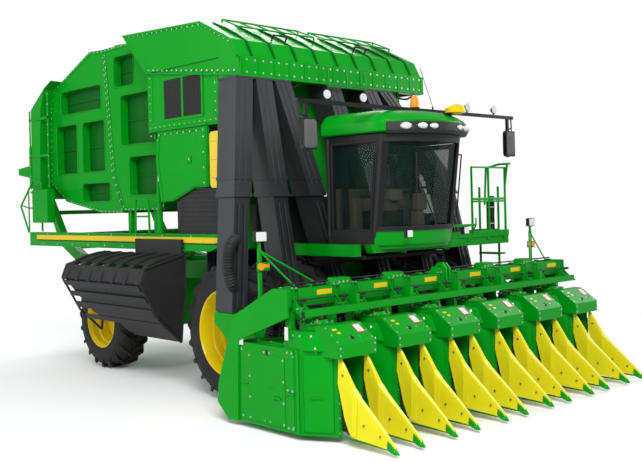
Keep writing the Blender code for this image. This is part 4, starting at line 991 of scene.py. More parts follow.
def make_chamber_details():
    """Inner sheets in a darker green as painted shade of their recess, seams, window rims and bolt rows
    of the chamber and its gate.
    """
    plain = {"root": ((5.96, 2.70), (5.96, 4.76), (6.62, 5.41), (7.66, 5.41), (7.42, 3.27),
                      (7.12, 2.70)),
             "chamber_gate": ((7.78, 5.41), (8.20, 5.44), (9.54, 4.94), (9.70, 4.58), (9.74, 3.22),
                              (9.16, 2.89), (7.95, 2.68), (7.24, 2.66), (7.53, 3.27))}
    windows = {"root": ((6.10, 6.95, 2.90, 3.55), (6.10, 7.20, 3.75, 4.60),
                        (6.75, 7.40, 4.75, 5.28)),
               "chamber_gate": ((7.85, 9.35, 4.45, 4.88), (7.75, 8.55, 3.35, 4.25),
                                (8.75, 9.55, 3.35, 4.25), (7.60, 8.60, 2.82, 3.15))}
    seams = {"root": (((5.93, 2.72), (5.93, 4.77), 20), ((5.95, 4.80), (6.60, 5.435), 9),
                      ((6.66, 5.44), (7.66, 5.44), 10), ((7.685, 5.35), (7.455, 3.36), 20),
                      ((7.44, 3.22), (7.17, 2.72), 5), ((6.00, 2.67), (7.10, 2.67), 10)),
             "chamber_gate": (((7.79, 5.43), (8.20, 5.465), 4), ((8.27, 5.45), (9.55, 4.965), 13),
                              ((9.60, 4.92), (9.725, 4.62), 3), ((9.735, 4.55), (9.775, 3.24), 13),
                              ((9.74, 3.175), (9.22, 2.88), 5), ((9.14, 2.86), (7.98, 2.66), 11),
                              ((7.90, 2.645), (7.24, 2.635), 6), ((7.515, 3.34), (7.735, 5.32), 20),
                              ((7.215, 2.68), (7.49, 3.22), 5))}
    for body, tag in (("root", "chamber"), ("chamber_gate", "gate")):
        sheets, rims, steel, green = (bmesh.new() for _ in range(4))
        for side in (-1, 1):
            add_prism(sheets, plain[body], "x", *sorted((side * 1.452, side * 1.462)))
            for y0, y1, z0, z1 in windows[body]:
                # a pressed rib behind each opening, and the rolled edge round it
                middle = (z0 + z1) / 2
                add_box(sheets, tuple(sorted((side * 1.462, side * 1.478))), (y0 + 0.02, y1 - 0.02),
                        (middle - 0.02, middle + 0.02), 0.006)
                corners = [(y0, z0), (y1, z0), (y1, z1), (y0, z1)]
                ring = [(side * 1.603, y, z) for y, z in corners]
                for a, b in zip(ring, ring[1:] + ring[:1]):
                    add_rod(rims, a, b, 0.009, 8)
            w = side * 1.601
            for (ya, za), (yb, zb), count in seams[body]:
                add_bolts(steel, [((w + side * 0.008, ya, za), (w + side * 0.008, yb, zb), count,
                                   (side, 0, 0))], 0.010)
            outline = [Vector(p) for p in plain[body]]
            outer = {"root": ((5.912, 2.652), (5.912, 4.785), (6.60, 5.458), (7.718, 5.458),
                              (7.468, 3.27), (7.148, 2.652)),
                     "chamber_gate": ((7.732, 5.458), (8.22, 5.488), (9.588, 4.968), (9.748, 4.60),
                                      (9.798, 3.20), (9.20, 2.842), (7.95, 2.632), (7.172, 2.612),
                                      (7.482, 3.27))}[body]
            for i, (a, b) in enumerate(zip(outer, outer[1:] + outer[:1])):
                c, d = outline[(i + 1) % len(outline)], outline[i]
                add_prism(green, (a, b, tuple(c), tuple(d)), "x",
                          *sorted((w - side * 0.002, w + side * 0.008)))
        if body == "root":
            for y in (6.75, 7.15, 7.55):
                add_box(green, (-1.58, 1.58), (y - 0.02, y + 0.02), (5.455, 5.475), 0.005)
        # painted shade: the recessed inner sheets and their pressed ribs are drawn in darker green
        show(f"{tag}_inner_sheets", sheets, "green_painted_shade", body)
        show(f"{tag}_window_rims", rims, GREEN, body, smooth=True)
        show(f"{tag}_bolts", steel, "bright_steel", body)
        show(f"{tag}_flanges", green, GREEN, body)


# ---- cab -----------------------------------------------------------------------
CAB_PLAN = ((-0.88, 2.88), (-0.80, 1.86), (-0.48, 1.60), (0.0, 1.50), (0.48, 1.60), (0.80, 1.86),
            (0.88, 2.88))


def on_cab(x, y, z, out=0.0):
    """A point of the cab's plan at a height: the wall leans out towards the roof."""
    lean = 0.27 * (3.60 - z) / 1.48 * (2.88 - y) / 1.38
    swell = 1 + out
    return Vector((x * swell, 2.88 + (y - 2.88) * swell + lean, z))


def add_band(mesh, plan, low, high, near, far, cap=True):
    """A wall that follows the cab's plan between two heights and two distances out."""
    sections = []
    for x, y in plan:
        sections.append([on_cab(x, y, low, near), on_cab(x, y, low, far),
                         on_cab(x, y, high, far), on_cab(x, y, high, near)])
    add_loft(mesh, sections, cap)


def round_plan(points, per_span=5):
    return [(p.x, p.y) for p in smooth_path([(x, y, 0) for x, y in points], per_span)]


def make_cab_outside():
    front = round_plan(((-0.80, 1.86), (-0.48, 1.60), (0.0, 1.50), (0.48, 1.60), (0.80, 1.86)))
    # glass: the wide screen and the side panes
    mesh = bmesh.new()
    add_band(mesh, CAB_PLAN[1:6], 2.34, 3.50, -0.030, -0.022)
    show("windscreen", mesh, "clear_glass", "root")
    for side, name, body in ((-1, "right", "root"), (1, "left", "cab_door")):
        mesh = bmesh.new()
        pane = ((2.10, 2.30), (2.78, 2.30), (2.78, 3.50), (1.96, 3.50))
        if side > 0:
            pane = ((2.15, 2.48), (2.72, 2.48), (2.72, 3.46), (2.01, 3.46))
        ring = [on_cab(side * (0.80 + 0.08 * (y - 1.86) / 1.02), y, z) for y, z in pane]
        shift = Vector((side * -0.030, 0, 0))
        thick = Vector((side * -0.006, 0, 0))
        for p, (y, z) in zip(ring, pane):
            p.y = y
        add_loft(mesh, [[p + shift for p in ring], [p + shift + thick for p in ring]])
        show(f"side_glass_{name}", mesh, "clear_glass", body)
        mesh = bmesh.new()
        for a, b in zip(ring, ring[1:] + ring[:1]):
            add_rod(mesh, a + shift * 0.3, b + shift * 0.3, 0.016, 8)
        show(f"side_glass_seal_{name}", mesh, "black_plastic", body, smooth=True)
    mesh = bmesh.new()
    add_box(mesh, (-0.60, 0.60), (2.852, 2.858), (2.90, 3.40))
    show("rear_glass", mesh, "clear_glass", "root")
    # black posts and frames
    mesh = bmesh.new()
    for side in (-1, 1):
        a, b = on_cab(side * 0.802, 1.868, 2.22), on_cab(side * 0.802, 1.868, 3.58)
        add_bar(mesh, (a, a.lerp(b, 0.5), b), 0.036, 12)
        a, b = on_cab(side * 0.875, 2.84, 2.22), on_cab(side * 0.875, 2.84, 3.58)
        add_bar(mesh, (a, b), 0.030, 12)
    show("cab_posts", mesh, "black_plastic", "root", smooth=True)
    mesh = bmesh.new()
    add_band(mesh, front, 2.305, 2.352, -0.004, 0.012)
    add_band(mesh, front, 3.492, 3.585, -0.004, 0.012)
    show("screen_frame", mesh, "black_plastic", "root", smooth=True)
    mesh = bmesh.new()
    # wiper with its arm
    low, high = on_cab(0.10, 1.52, 2.36, 0.02), on_cab(-0.34, 1.575, 3.02, 0.02)
    add_rod(mesh, low, high, 0.009, 8)
    add_rod(mesh, on_cab(-0.30, 1.57, 2.68, 0.014), on_cab(-0.40, 1.585, 3.34, 0.014), 0.010, 8)
    add_rod(mesh, low, low + Vector((0, 0.03, 0)), 0.022, 12)
    show("wiper", mesh, "black_plastic", "root")
    # curved green fascia under the screen
    mesh = bmesh.new()
    add_band(mesh, front, 2.10, 2.300, 0.002, 0.020)
    add_band(mesh, front, 2.050, 2.105, -0.03, -0.004)
    show("cab_fascia", mesh, GREEN, "root", smooth=True)
    mesh = bmesh.new()
    add_band(mesh, front, 2.285, 2.308, 0.0, 0.026)
    add_band(mesh, round_plan(((0.88, 2.86), (0.80, 1.86))), 2.10, 2.205, 0.002, 0.012)
    add_band(mesh, round_plan(((-0.88, 2.86), (-0.80, 1.86))), 2.10, 2.300, 0.002, 0.012)
    show("cab_skirts", mesh, "black_plastic", "root", smooth=True)
    mesh = bmesh.new()
    # hand holds beside the screen
    for side in (-1, 1):
        p, q = on_cab(side * 0.86, 1.90, 2.45), on_cab(side * 0.86, 1.90, 3.35)
        out = Vector((side * 0.05, -0.04, 0))
        add_bar(mesh, (p, p + out, q + out, q), 0.011, 8)
    show("screen_grips", mesh, "black_paint", "root", smooth=True)
    for x, y, w in ((-0.60, 1.62, 0.055), (0.60, 1.62, 0.055)):
        mesh = bmesh.new()
        add_box(mesh, (x - w, x + w), (y - 0.035, y + 0.03), (2.20, 2.31), 0.012)
        show(f"work_lamp_body_{'right' if x < 0 else 'left'}", mesh, "black_plastic", "root")
        mesh = bmesh.new()
        add_box(mesh, (x - w + 0.008, x + w - 0.008), (y - 0.045, y - 0.03), (2.21, 2.30), 0.006)
        show(f"work_lamp_{'right' if x < 0 else 'left'}", mesh, "blank_label", "root")


def make_roof():
    """Green roof cap with its visor, lamp clusters, beacon, dome and aerials."""
    def scaled(grow, dy=0.0):
        return [(x * grow, 2.90 + (y - 2.88) * grow + dy) for x, y in
                round_plan(((-0.88, 2.88), (-0.84, 2.2), (-0.80, 1.86), (-0.48, 1.60), (0, 1.50),
                            (0.48, 1.60), (0.80, 1.86), (0.84, 2.2), (0.88, 2.88)), 4)]
    mesh = bmesh.new()
    sections = []
    for z, grow, shift in ((3.615, 1.045, 0), (3.63, 1.065, 0), (3.70, 1.075, 0), (3.775, 1.07, 0),
                           (3.80, 1.05, 0.0), (3.85, 1.0, 0.01), (3.90, 0.93, 0.02),
                           (3.925, 0.84, 0.03), (3.932, 0.6, 0.06)):
        sections.append([(x, y, z) for x, y in scaled(grow, shift)])
    add_loft(mesh, sections)
    piece = show("roof_cap", mesh, GREEN, "root", smooth=True)
    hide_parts("cab_roof")
    mesh = bmesh.new()
    visor = round_plan(((-0.78, 1.84), (-0.48, 1.60), (0, 1.50), (0.48, 1.60), (0.78, 1.84)), 6)
    sections = []
    for x, y in visor:
        near, far = 1.0, 1.105
        p = Vector((x, 2.88 + (y - 2.88) * near, 0))
        q = Vector((x * 1.07, 2.88 + (y - 2.88) * far, 0))
        sections.append([p + Vector((0, 0, 3.592)), q + Vector((0, 0.03, 3.592)),
                         q + Vector((0, 0, 3.635)), q + Vector((0, 0.02, 3.745)),
                         p + Vector((0, 0, 3.765))])
    add_loft(mesh, sections)
    show("roof_visor", mesh, "black_plastic", "root", smooth=None)
    rings, lenses = bmesh.new(), bmesh.new()
    for side in (-1, 1):
        for x, w, h in ((0.25, 0.065, 0.036), (0.42, 0.072, 0.040), (0.60, 0.070, 0.044)):
            share = (0.48 - x) / 0.48
            y = 1.60 - 0.10 * max(share, 0) if x <= 0.48 else 1.60 + (x - 0.48) / 0.32 * 0.26
            y = 2.88 + (y - 2.88) * 1.105
            lean = math.atan2(0.10, 0.48) if x <= 0.48 else math.atan2(0.26, 0.32)
            turn = Matrix.Rotation(side * lean, 4, "Z")
            for target, grow, depth, shift in ((rings, 1.18, 0.035, 0.0), (lenses, 1.0, 0.030, -0.012)):
                out = Vector((side * math.sin(lean), -math.cos(lean), 0)) * (0.004 - shift)
                matrix = (Matrix.Translation(Vector((side * x * 1.07, y, 3.685)) + out) @ turn
                          @ Matrix.Diagonal((w * grow, depth, h * grow, 1)))
                bmesh.ops.create_uvsphere(target, u_segments=24, v_segments=12, radius=1.0,
                                          matrix=matrix)
    show("roof_lamp_rings", rings, "bright_steel", "root", smooth=True)
    show("roof_lamp_lenses", lenses, "blank_label", "root", smooth=True)
    mesh = bmesh.new()
    bmesh.ops.create_uvsphere(mesh, u_segments=32, v_segments=16, radius=1.0,
                              matrix=Matrix.Translation((0.33, 1.52, 3.945))
                              @ Matrix.Diagonal((0.145, 0.135, 0.075, 1)))
    add_rod(mesh, (0.33, 1.52, 3.90), (0.33, 1.52, 3.95), 0.142, 32)
    show("receiver_dome", mesh, YELLOW, "root", smooth=True)
    mesh = bmesh.new()
    add_box(mesh, (0.22, 0.44), (1.50, 1.70), (3.88, 3.91), 0.006)
    add_rod(mesh, (0.0, 1.98, 3.91), (0.0, 1.98, 3.99), 0.030, 16)
    add_rod(mesh, (0.0, 1.98, 3.985), (0.0, 1.98, 4.00), 0.070, 24)
    add_rod(mesh, (0.30, 1.90, 3.92), (0.30, 1.90, 4.02), 0.012, 10)
    add_rod(mesh, (0.30, 1.90, 4.01), (-0.02, 1.84, 4.52), 0.004, 6)
    show("roof_bases", mesh, "black_plastic", "root")
    mesh = bmesh.new()
    add_lathe(mesh, ((4.00, 0.0005), (4.00, 0.062), (4.02, 0.062), (4.10, 0.058), (4.145, 0.046),
                     (4.165, 0.020), (4.17, 0.0005)), (0.0, 1.98, 0), 28, "z")
    show("beacon", mesh, "amber_lens", "root", smooth=True)
    # round lamps and mirrors on the long bar
    mesh, lens = bmesh.new(), bmesh.new()
    for side in (-1, 1):
        for x in (1.10, 1.75):
            p = Vector((side * x, 1.90, 4.055))
            add_rod(mesh, p, p + Vector((0, 0.055, 0)), 0.062, 22, 0.030)
            add_rod(mesh, p + Vector((0, 0.02, -0.09)), p + Vector((0, 0.02, -0.03)), 0.012, 8)
            add_rod(lens, p + Vector((0, -0.012, 0)), p, 0.054, 22, 0.058)
        x = side * 2.09
        add_bar(mesh, ((side * 2.20, 1.92, 3.96), (side * 2.21, 1.92, 3.80), (side * 2.10, 1.915, 3.76)),
                0.011, 8)
        add_bar(mesh, ((side * 2.21, 1.92, 3.80), (side * 2.215, 1.92, 3.42), (side * 2.10, 1.915, 3.38)),
                0.009, 8)
    show("bar_lamps", mesh, "black_plastic", "root", smooth=True)
    show("bar_lamp_lenses", lens, "lamp_lens", "root")
    for side, name in SIDES:
        mesh = bmesh.new()
        x = side * 2.09
        outline = []
        for cx, cz, first in ((0.075, 0.155, 0), (-0.075, 0.155, 90), (-0.075, -0.155, 180),
                              (0.075, -0.155, 270)):
            for a in range(first, first + 91, 30):
                outline.append((x + cx + 0.035 * math.cos(math.radians(a)),
                                3.545 + cz + 0.035 * math.sin(math.radians(a))))
        middle = Vector((x, 3.545))
        sections = []
        for y, grow in ((1.925, 0.97), (1.915, 1.0), (1.87, 1.0), (1.84, 0.90), (1.828, 0.70)):
            sections.append([(middle.x + (u - middle.x) * grow, y, middle.y + (v - middle.y) * grow)
                             for u, v in outline])
        add_loft(mesh, sections)
        show(f"mirror_shell_{name}", mesh, "cast_grey", "root", smooth=True)
        mesh = bmesh.new()
        add_prism(mesh, [(middle.x + (u - middle.x) * 0.90, middle.y + (v - middle.y) * 0.93)
                         for u, v in outline], "y", 1.925, 1.929)
        show(f"mirror_face_{name}", mesh, "mirror_glass", "root")


def make_cab_inside():
    mesh = bmesh.new()
    add_lathe(mesh, [(2.875 + 0.016 * math.cos(a), 0.19 + 0.016 * math.sin(a))
                     for a in (2 * math.pi * k / 10 for k in range(10))], (0, 1.99, 0), 40, "z")
    for a in (0.5, 2.64, 4.71):
        add_rod(mesh, (0, 1.99, 2.868), (0.185 * math.cos(a), 1.99 + 0.185 * math.sin(a), 2.875),
                0.012, 8)
    add_rod(mesh, (0, 1.99, 2.84), (0, 1.99, 2.885), 0.045, 20)
    show("steering_wheel", mesh, "black_plastic", "root", smooth=True)
    mesh = bmesh.new()
    add_box(mesh, (-0.075, 0.075), (1.90, 2.04), (2.20, 2.56), 0.03)
    add_box(mesh, (-0.11, 0.11), (1.88, 1.98), (2.56, 2.80), 0.03)
    add_box(mesh, (-0.50, -0.27), (2.08, 2.78), (2.56, 2.74), 0.03)
    add_box(mesh, (-0.52, -0.28), (1.98, 2.14), (2.70, 2.86), 0.03)
    show("consoles", mesh, "tan_plastic", "root", smooth=None)
    mesh = bmesh.new()
    add_box(mesh, (-0.50, -0.44), (1.86, 1.90), (2.92, 3.14), 0.012)
    add_bar(mesh, ((-0.47, 1.90, 3.02), (-0.47, 2.02, 2.98), (-0.44, 2.10, 2.80)), 0.014, 8)
    add_rod(mesh, (-0.36, 2.22, 2.74), (-0.36, 2.20, 2.86), 0.014, 10)
    bmesh.ops.create_uvsphere(mesh, u_segments=16, v_segments=10, radius=0.032,
                              matrix=Matrix.Translation((-0.36, 2.20, 2.88)))
    add_box(mesh, (-0.30, -0.26), (2.14, 2.54), (2.80, 2.84), 0.014)
    add_box(mesh, (0.26, 0.32), (2.14, 2.60), (2.80, 2.85), 0.018)
    add_rod(mesh, (0.29, 2.56, 2.72), (0.29, 2.58, 2.82), 0.018, 10)
    add_box(mesh, (-0.78, -0.72), (2.60, 2.68), (2.20, 3.52), 0.012)
    show("cab_controls", mesh, "black_plastic", "root")
    mesh = bmesh.new()
    add_box(mesh, (-0.70, 0.70), (1.92, 2.80), (3.555, 3.59), 0.015)
    add_box(mesh, (-0.78, 0.78), (2.80, 2.83), (2.18, 2.88), 0.012)
    add_box(mesh, (-0.66, -0.50), (2.55, 2.80), (2.18, 2.75), 0.03)
    show("cab_trim", mesh, "tan_plastic", "root")


def applied(piece):
    """Leaves the piece with the mesh that its modifiers make, and without them."""
    graph = bpy.context.evaluated_depsgraph_get()
    mesh = bpy.data.meshes.new_from_object(piece.evaluated_get(graph))
    piece.modifiers.clear()
    piece.data = mesh


def puff(piece, cap):
    """Blows a pad up with the cloth solver, by no more than the cap."""
    remesh = piece.modifiers.new("remesh", "REMESH")
    remesh.mode, remesh.voxel_size, remesh.use_smooth_shade = "VOXEL", 0.008, True
    applied(piece)
    start = [vert.co.copy() for vert in piece.data.vertices]
    cloth = piece.modifiers.new("cloth", "CLOTH")
    cloth.settings.use_pressure = True
    cloth.settings.uniform_pressure_force = 4.0
    cloth.settings.effector_weights.gravity = 0.0
    for step in range(1, 21):
        bpy.context.scene.frame_set(step)
    applied(piece)
    bpy.context.scene.frame_set(1)
    for vert, before in zip(piece.data.vertices, start):
        move = vert.co - before
        if move.length > cap:
            vert.co = before + move.normalized() * cap


def make_pad(name, node_name, size, centre, tilt, seam):
    """A stuffed seat piece with two sewn seams and a green band along each."""
    mesh = bmesh.new()
    matrix = (Matrix.Translation(Vector(centre)) @ Matrix.Rotation(tilt, 4, "X")
              @ Matrix.Diagonal((*size, 1)))
    bmesh.ops.create_cube(mesh, size=1.0, matrix=matrix)
    bmesh.ops.bevel(mesh, geom=mesh.edges[:], offset=0.030, segments=3, affect="EDGES")
    piece = show(name, mesh, "seat_fabric", "root", smooth=True)
    puff(piece, 0.010)
    for vert, normal in zip(piece.data.vertices, [n.vector.copy()
                                                  for n in piece.data.vertex_normals]):
        away = (abs(vert.co.x) - seam) / 0.007
        vert.co -= normal * 0.006 * math.exp(-away * away)
    paint_faces(piece, "seat_trim", lambda middle, normal: seam + 0.008 < abs(middle.x) < seam + 0.03
                and (normal.z > 0.3 or normal.y < -0.3))
    finer = piece.modifiers.new("finer", "SUBSURF")
    finer.levels = finer.render_levels = 1
    applied(piece)
    for face in piece.data.polygons:
        face.use_smooth = True
    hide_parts(node_name)


def make_seat():
    make_pad("padded_cushion", "seat_cushion", (0.48, 0.44, 0.115), (0, 2.39, 2.636), 0.0, 0.12)
    make_pad("padded_back", "seat_back", (0.44, 0.105, 0.57), (0, 2.695, 2.99), -0.13, 0.11)


# ---- platform, intake and tail -------------------------------------------------
def make_platform():
    mesh = bmesh.new()
    posts = ((1.70, 2.33), (2.13, 2.33), (2.57, 2.33))
    for (xa, y), (xb, _) in zip(posts, posts[1:]):
        add_rod(mesh, (xa, y, 2.66), (xb, y, 2.66), 0.014, 10)
    # bent outer rail that reaches over the ladder
    add_bar(mesh, ((2.57, 2.33, 2.90), (2.60, 2.30, 3.24), (2.74, 2.34, 3.27), (2.78, 2.60, 3.27),
                   (2.78, 2.86, 3.22), (2.78, 2.90, 2.60)), 0.018, 10)
    for x in (1.05, 1.55, 2.05, 2.50):
        add_box(mesh, (x - 0.03, x + 0.03), (2.285, 2.31), (2.05, 2.185), 0.004)
    add_box(mesh, (0.92, 2.60), (2.287, 2.302), (2.10, 2.20), 0.004)
    add_box(mesh, (2.13, 2.42), (2.36, 2.62), (2.185, 2.215), 0.006)
    add_bar(mesh, ((1.62, 2.28, 2.17), (1.62, 2.20, 2.30), (1.62, 2.20, 2.41)), 0.012, 8)
    add_box(mesh, (1.0, 1.62), (2.19, 2.21), (2.28, 2.32), 0.004)
    show("platform_trim", mesh, GREEN, "root")
    mesh = bmesh.new()
    add_rod(mesh, (2.29, 2.42, 2.20), (2.29, 2.42, 2.62), 0.065, 24)
    bmesh.ops.create_uvsphere(mesh, u_segments=24, v_segments=12, radius=0.065,
                              matrix=Matrix.Translation((2.29, 2.42, 2.62)))
    add_rod(mesh, (2.29, 2.42, 2.66), (2.29, 2.42, 2.73), 0.022, 14)
    add_box(mesh, (2.27, 2.38), (2.40, 2.44), (2.71, 2.745), 0.008)
    add_hose(mesh, ((2.33, 2.42, 2.70), (2.385, 2.42, 2.62), (2.375, 2.42, 2.40)), 0.012, 8)
    show("extinguisher", mesh, "black_paint", "root", smooth=True)
    mesh = bmesh.new()
    for z in (2.30, 2.56):
        add_rod(mesh, (2.29, 2.42, z), (2.29, 2.42, z + 0.012), 0.069, 24)
    show("extinguisher_clamps", mesh, "bright_steel", "root", smooth=True)
    mesh = bmesh.new()
    for point in on_line((0.96, 0, 0), (2.58, 0, 0), 26):
        add_box(mesh, (point.x - 0.004, point.x + 0.004), (2.31, 2.91), (2.181, 2.189))
    show("platform_treads", mesh, "cast_grey", "root")


def make_intake():
    """Curved ribs over the slots and long steps in the outer face of the side housing."""
    outer = [Vector((x, z)) for x, z in ((-1.94, 1.40), (-1.99, 1.02), (-2.02, 0.68), (-2.20, 0.86),
                                         (-2.40, 1.05), (-2.56, 1.32), (-2.70, 1.60),
                                         (-2.66, 1.72), (-2.62, 1.80))]
    mesh = bmesh.new()
    top = [Vector((x, z)) for x, z in ((-1.90, 1.99), (-2.10, 1.985), (-2.36, 1.93), (-2.56, 1.85),
                                       (-2.66, 1.74), (-2.72, 1.62))]
    for y in on_line((0, 4.96, 0), (0, 7.14, 0), 7):
        ring = [(p.x, p.y) for p in top] + [(p.x + 0.02, p.y - 0.06) for p in reversed(top)]
        add_prism(mesh, ring, "y", y.y - 0.05, y.y + 0.05, 0.012)
    for low, high in (((-2.705, 1.56), (-2.66, 1.48)), ((-2.60, 1.38), (-2.55, 1.30)),
                      ((-2.49, 1.20), (-2.43, 1.10)), ((-2.33, 0.98), (-2.26, 0.90))):
        add_prism(mesh, ((low[0] - 0.014, low[1] + 0.004), (high[0] - 0.014, high[1] - 0.006),
                         (high[0] + 0.02, high[1]), (low[0] + 0.02, low[1])), "y", 4.92, 7.23, 0.006)
    # rolled front rim and the front cheek
    section = ((-1.92, 1.98), (-1.94, 1.40), (-2.02, 0.68), (-2.40, 1.05), (-2.70, 1.60),
               (-2.62, 1.80))
    for y in (4.895, 7.255):
        ring = [(x, y, z) for x, z in section]
        for a, b in zip(ring, ring[1:] + ring[:1]):
            add_rod(mesh, a, b, 0.018, 8)
    add_prism(mesh, [(x * 0.985 - 0.035, z * 0.90 + 0.14) for x, z in section], "y", 4.880, 4.900,
              0.006)
    show("intake_ribs", mesh, "black_plastic", "root")
    mesh = bmesh.new()
    for y in on_line((0, 5.14, 0), (0, 6.96, 0), 6):
        add_prism(mesh, ((-1.96, 1.972), (-2.30, 1.925), (-2.50, 1.86), (-2.50, 1.84),
                         (-2.30, 1.905), (-1.96, 1.95)), "y", y.y - 0.10, y.y + 0.10)
    show("intake_slots", mesh, "hose_rubber", "root")


def make_duct_details():
    """Creases, joint collars and clamps of the six ducts, and the hoses between them."""
    knee = (-2.09, -1.475, -0.82, 0.13, 1.24, 2.22)
    top = (-1.84, -1.50, -1.16, -0.16, 0.62, 0.96)

    def spot(row, z):
        x0 = (row - 3.5) * ROW_PITCH
        y = 2.92 + 0.535 * (z - 1.304) / 3.1657
        if z < 3.05:
            x = x0 + (knee[row - 1] - x0) * (z - 1.304) / 1.746
        else:
            x = knee[row - 1] + (top[row - 1] - knee[row - 1]) * (z - 3.05) / 1.4197
        return x, y

    for row in ROWS:
        upper, lower = bmesh.new(), bmesh.new()
        for mesh, zs in ((upper, (2.98, 3.05, 3.40, 3.80, 4.20, 4.44)),
                         (lower, (1.36, 1.70, 2.10, 2.50, 2.71))):
            for share in (-0.17, 0.17):
                sections = []
                for z in zs:
                    x, y = spot(row, z)
                    x += share * 0.29
                    sections.append([(x - 0.020, y + 0.002, z), (x - 0.012, y - 0.009, z),
                                     (x + 0.012, y - 0.009, z), (x + 0.020, y + 0.002, z)])
                add_loft(mesh, sections)
        for z, high in ((2.80, 0.05), (3.03, 0.04)):
            sections = []
            for level in (z, z + high):
                x, y = spot(row, level)
                sections.append([(x - 0.152, y - 0.008, level), (x + 0.152, y - 0.008, level),
                                 (x + 0.152, y + 0.41, level), (x - 0.152, y + 0.41, level)])
            add_loft(upper, sections)
        show(f"duct_{row}_upper_ribs", upper, "duct_pale", "root")
        show(f"duct_{row}_lower_ribs", lower, "duct_grey", f"lower_duct_{row}")
    mesh = bmesh.new()
    add_hose(mesh, ((-2.34, 3.10, 2.24), (-2.50, 3.00, 2.14), (-2.57, 2.95, 1.92),
                    (-2.52, 2.96, 1.70), (-2.38, 3.06, 1.58)), 0.075, 18, 0.008, 0.034)
    show("side_hose", mesh, "black_plastic", "lower_duct_1", smooth=True)


def make_tail():
    green, steel = bmesh.new(), bmesh.new()
    # diamond rail, low box and the wrap housing's folds
    x = -1.93
    add_bar(green, ((x, 9.55, 2.30), (x, 9.55, 3.20), (x, 9.90, 3.26), (x, 10.45, 2.78),
                    (x, 10.12, 2.28)), 0.018, 10)
    add_bar(green, ((x, 9.55, 2.74), (x, 10.10, 2.74), (x, 10.42, 2.80)), 0.014, 8)
    add_rod(green, (x, 10.10, 2.30), (x, 10.10, 3.08), 0.014, 8)
    add_box(green, (-1.99, -1.83), (9.22, 9.84), (2.46, 3.08), 0.02)
    for side in (-1, 1):
        w = side * 1.823
        for y, z0, z1 in ((9.42, 3.10, 4.90), (10.18, 3.10, 4.60)):
            add_box(green, tuple(sorted((w - side * 0.003, w + side * 0.010))), (y, y + 0.05),
                    (z0, z1), 0.003)
        for z in (3.02, 3.70, 4.40):
            add_box(green, tuple(sorted((w - side * 0.003, w + side * 0.010))), (9.42, 10.23),
                    (z, z + 0.045), 0.003)
        add_bolts(steel, [((w + side * 0.009, 9.445, 3.14), (w + side * 0.009, 9.445, 4.86), 10,
                           (side, 0, 0)),
                          ((w + side * 0.009, 10.205, 3.14), (w + side * 0.009, 10.205, 4.56), 8,
                           (side, 0, 0))], 0.010)
    # stiffeners over the gate's roof and the housing's lower edge
    for x in on_line((-1.44, 0, 0), (1.44, 0, 0), 7):
        add_prism(green, ((7.86, 5.462), (8.22, 5.484), (9.24, 5.094), (9.24, 5.118), (8.22, 5.508),
                          (7.86, 5.486)), "x", x.x - 0.03, x.x + 0.03, 0.004)
    show("tail_trim", green, GREEN, "chamber_gate")
    show("tail_bolts", steel, "bright_steel", "chamber_gate")


# ---- finishes of the CAD nodes ------------------------------------------------
def dress_frame():
    """Every CAD node gets its finish, by the slot that the record gives it."""
    finish = {row["node"]: row["material_slot"] for row in frame["record"]["subparts"]}
    for name, obj in frame["nodes"].items():
        obj.data.materials.clear()
        look = finish[name]
        if name.startswith("upper_ducts"):
            look = "duct_pale"
        obj.data.materials.append(finish_of(look))


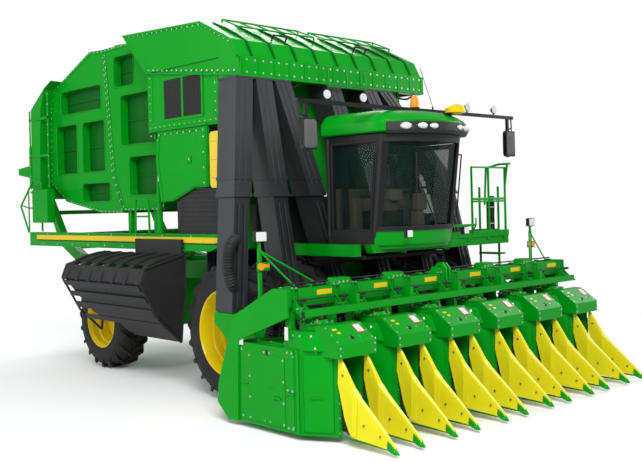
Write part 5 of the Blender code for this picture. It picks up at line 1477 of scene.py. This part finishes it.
# ---- floor, light and camera ---------------------------------------------------
def make_stage():
    size = 60.0
    mesh = bmesh.new()
    bmesh.ops.create_grid(mesh, x_segments=1, y_segments=1, size=size)
    data = bpy.data.meshes.new("floor")
    mesh.to_mesh(data)
    mesh.free()
    floor = bpy.data.objects.new("floor", data)
    bpy.context.scene.collection.objects.link(floor)
    pale = bpy.data.materials.new("pale_floor")
    pale.use_nodes = True
    tree = pale.node_tree
    shader = tree.nodes["Principled BSDF"]
    shader.inputs["Base Color"].default_value = rgb(0.86, 0.86, 0.86)
    shader.inputs["Roughness"].default_value = 0.9
    spot = node(tree, "ShaderNodeTexCoord", output=3)
    away = node(tree, "ShaderNodeVectorMath", {"operation": "LENGTH"}, {0: spot}, 1)
    glow = node(tree, "ShaderNodeEmission", {}, {"Color": rgb(1, 1, 1), "Strength": 1.0})
    fade = ((away - 5.5) * 0.22).clamp()
    mixed = node(tree, "ShaderNodeMixShader", {},
                 {0: fade, 1: Socket(tree, shader.outputs[0]), 2: glow})
    tree.links.new(mixed.output, tree.nodes["Material Output"].inputs["Surface"])
    floor.data.materials.append(pale)
    world = bpy.data.worlds.new("studio")
    bpy.context.scene.world = world
    world.use_nodes = True
    tree = world.node_tree
    tree.nodes.clear()
    rays = tree.nodes.new("ShaderNodeLightPath")
    seen = Socket(tree, rays.outputs["Is Camera Ray"])
    seen = (seen + Socket(tree, rays.outputs["Is Transmission Ray"])).math("MINIMUM", 1.0)
    backdrop = node(tree, "ShaderNodeBackground", {}, {"Color": rgb(1, 1, 1), "Strength": 1.0})
    dome = node(tree, "ShaderNodeBackground", {}, {"Color": rgb(0.93, 0.96, 1.0),
                                                   "Strength": 0.5})
    mixed = node(tree, "ShaderNodeMixShader", {}, {0: seen, 1: dome, 2: backdrop})
    out = tree.nodes.new("ShaderNodeOutputWorld")
    tree.links.new(mixed.output, out.inputs["Surface"])
    for name, energy, spread, spot, aim in (
            ("key_light", 2600.0, 7.0, (-9.0, -12.0, 11.0), (0, 0, 2)),
            ("fill_light", 900.0, 9.0, (-14.0, 6.0, 7.0), (0, 0, 2)),
            ("rim_light", 1500.0, 8.0, (9.0, 10.0, 12.0), (0, 0, 3)),
            ("left_light", 900.0, 9.0, (13.0, -7.0, 8.0), (0, 0, 2))):
        lamp = bpy.data.lights.new(name, "AREA")
        lamp.energy, lamp.size = energy, spread
        obj = bpy.data.objects.new(name, lamp)
        obj.location = spot
        obj.rotation_euler = (Vector(aim) - Vector(spot)).to_track_quat("-Z", "Y").to_euler()
        bpy.context.scene.collection.objects.link(obj)


def make_camera():
    yaw, pitch, roll = (math.radians(angle) for angle in (43.97, -0.10, -1.39))
    forward = Vector((math.sin(yaw) * math.cos(pitch), math.cos(yaw) * math.cos(pitch),
                      math.sin(pitch)))
    right = Vector((math.cos(yaw), -math.sin(yaw), 0))
    up = right.cross(forward)
    across = right * math.cos(roll) + up * math.sin(roll)
    upward = up * math.cos(roll) - right * math.sin(roll)
    width, height = 642, 462
    focal, centre_x, centre_y = 890.6, 343.3, 206.3
    lens = bpy.data.cameras.new("camera")
    lens.sensor_width = 36.0
    lens.lens = focal / width * lens.sensor_width
    lens.shift_x = (width / 2 - centre_x) / width
    lens.shift_y = (centre_y - height / 2) / width
    camera = bpy.data.objects.new("camera", lens)
    turn = Matrix((across, upward, -forward)).transposed().to_4x4()
    camera.matrix_world = Matrix.Translation(place(-9.413, -6.291, 2.66)) @ turn
    bpy.context.scene.collection.objects.link(camera)
    bpy.context.scene.camera = camera
    bpy.context.scene.view_settings.view_transform = "Standard"


make_camera()
make_materials()
dress_frame()
make_wheels()
for row in ROWS:
    make_lifters(row)
    make_unit_details(row)
make_toolbar_details()
make_stripes()
make_hood_details()
make_engine_bay()
make_service_side()
make_chamber_details()
make_cab_outside()
make_roof()
make_cab_inside()
make_seat()
make_platform()
make_intake()
make_duct_details()
make_tail()
make_stage()
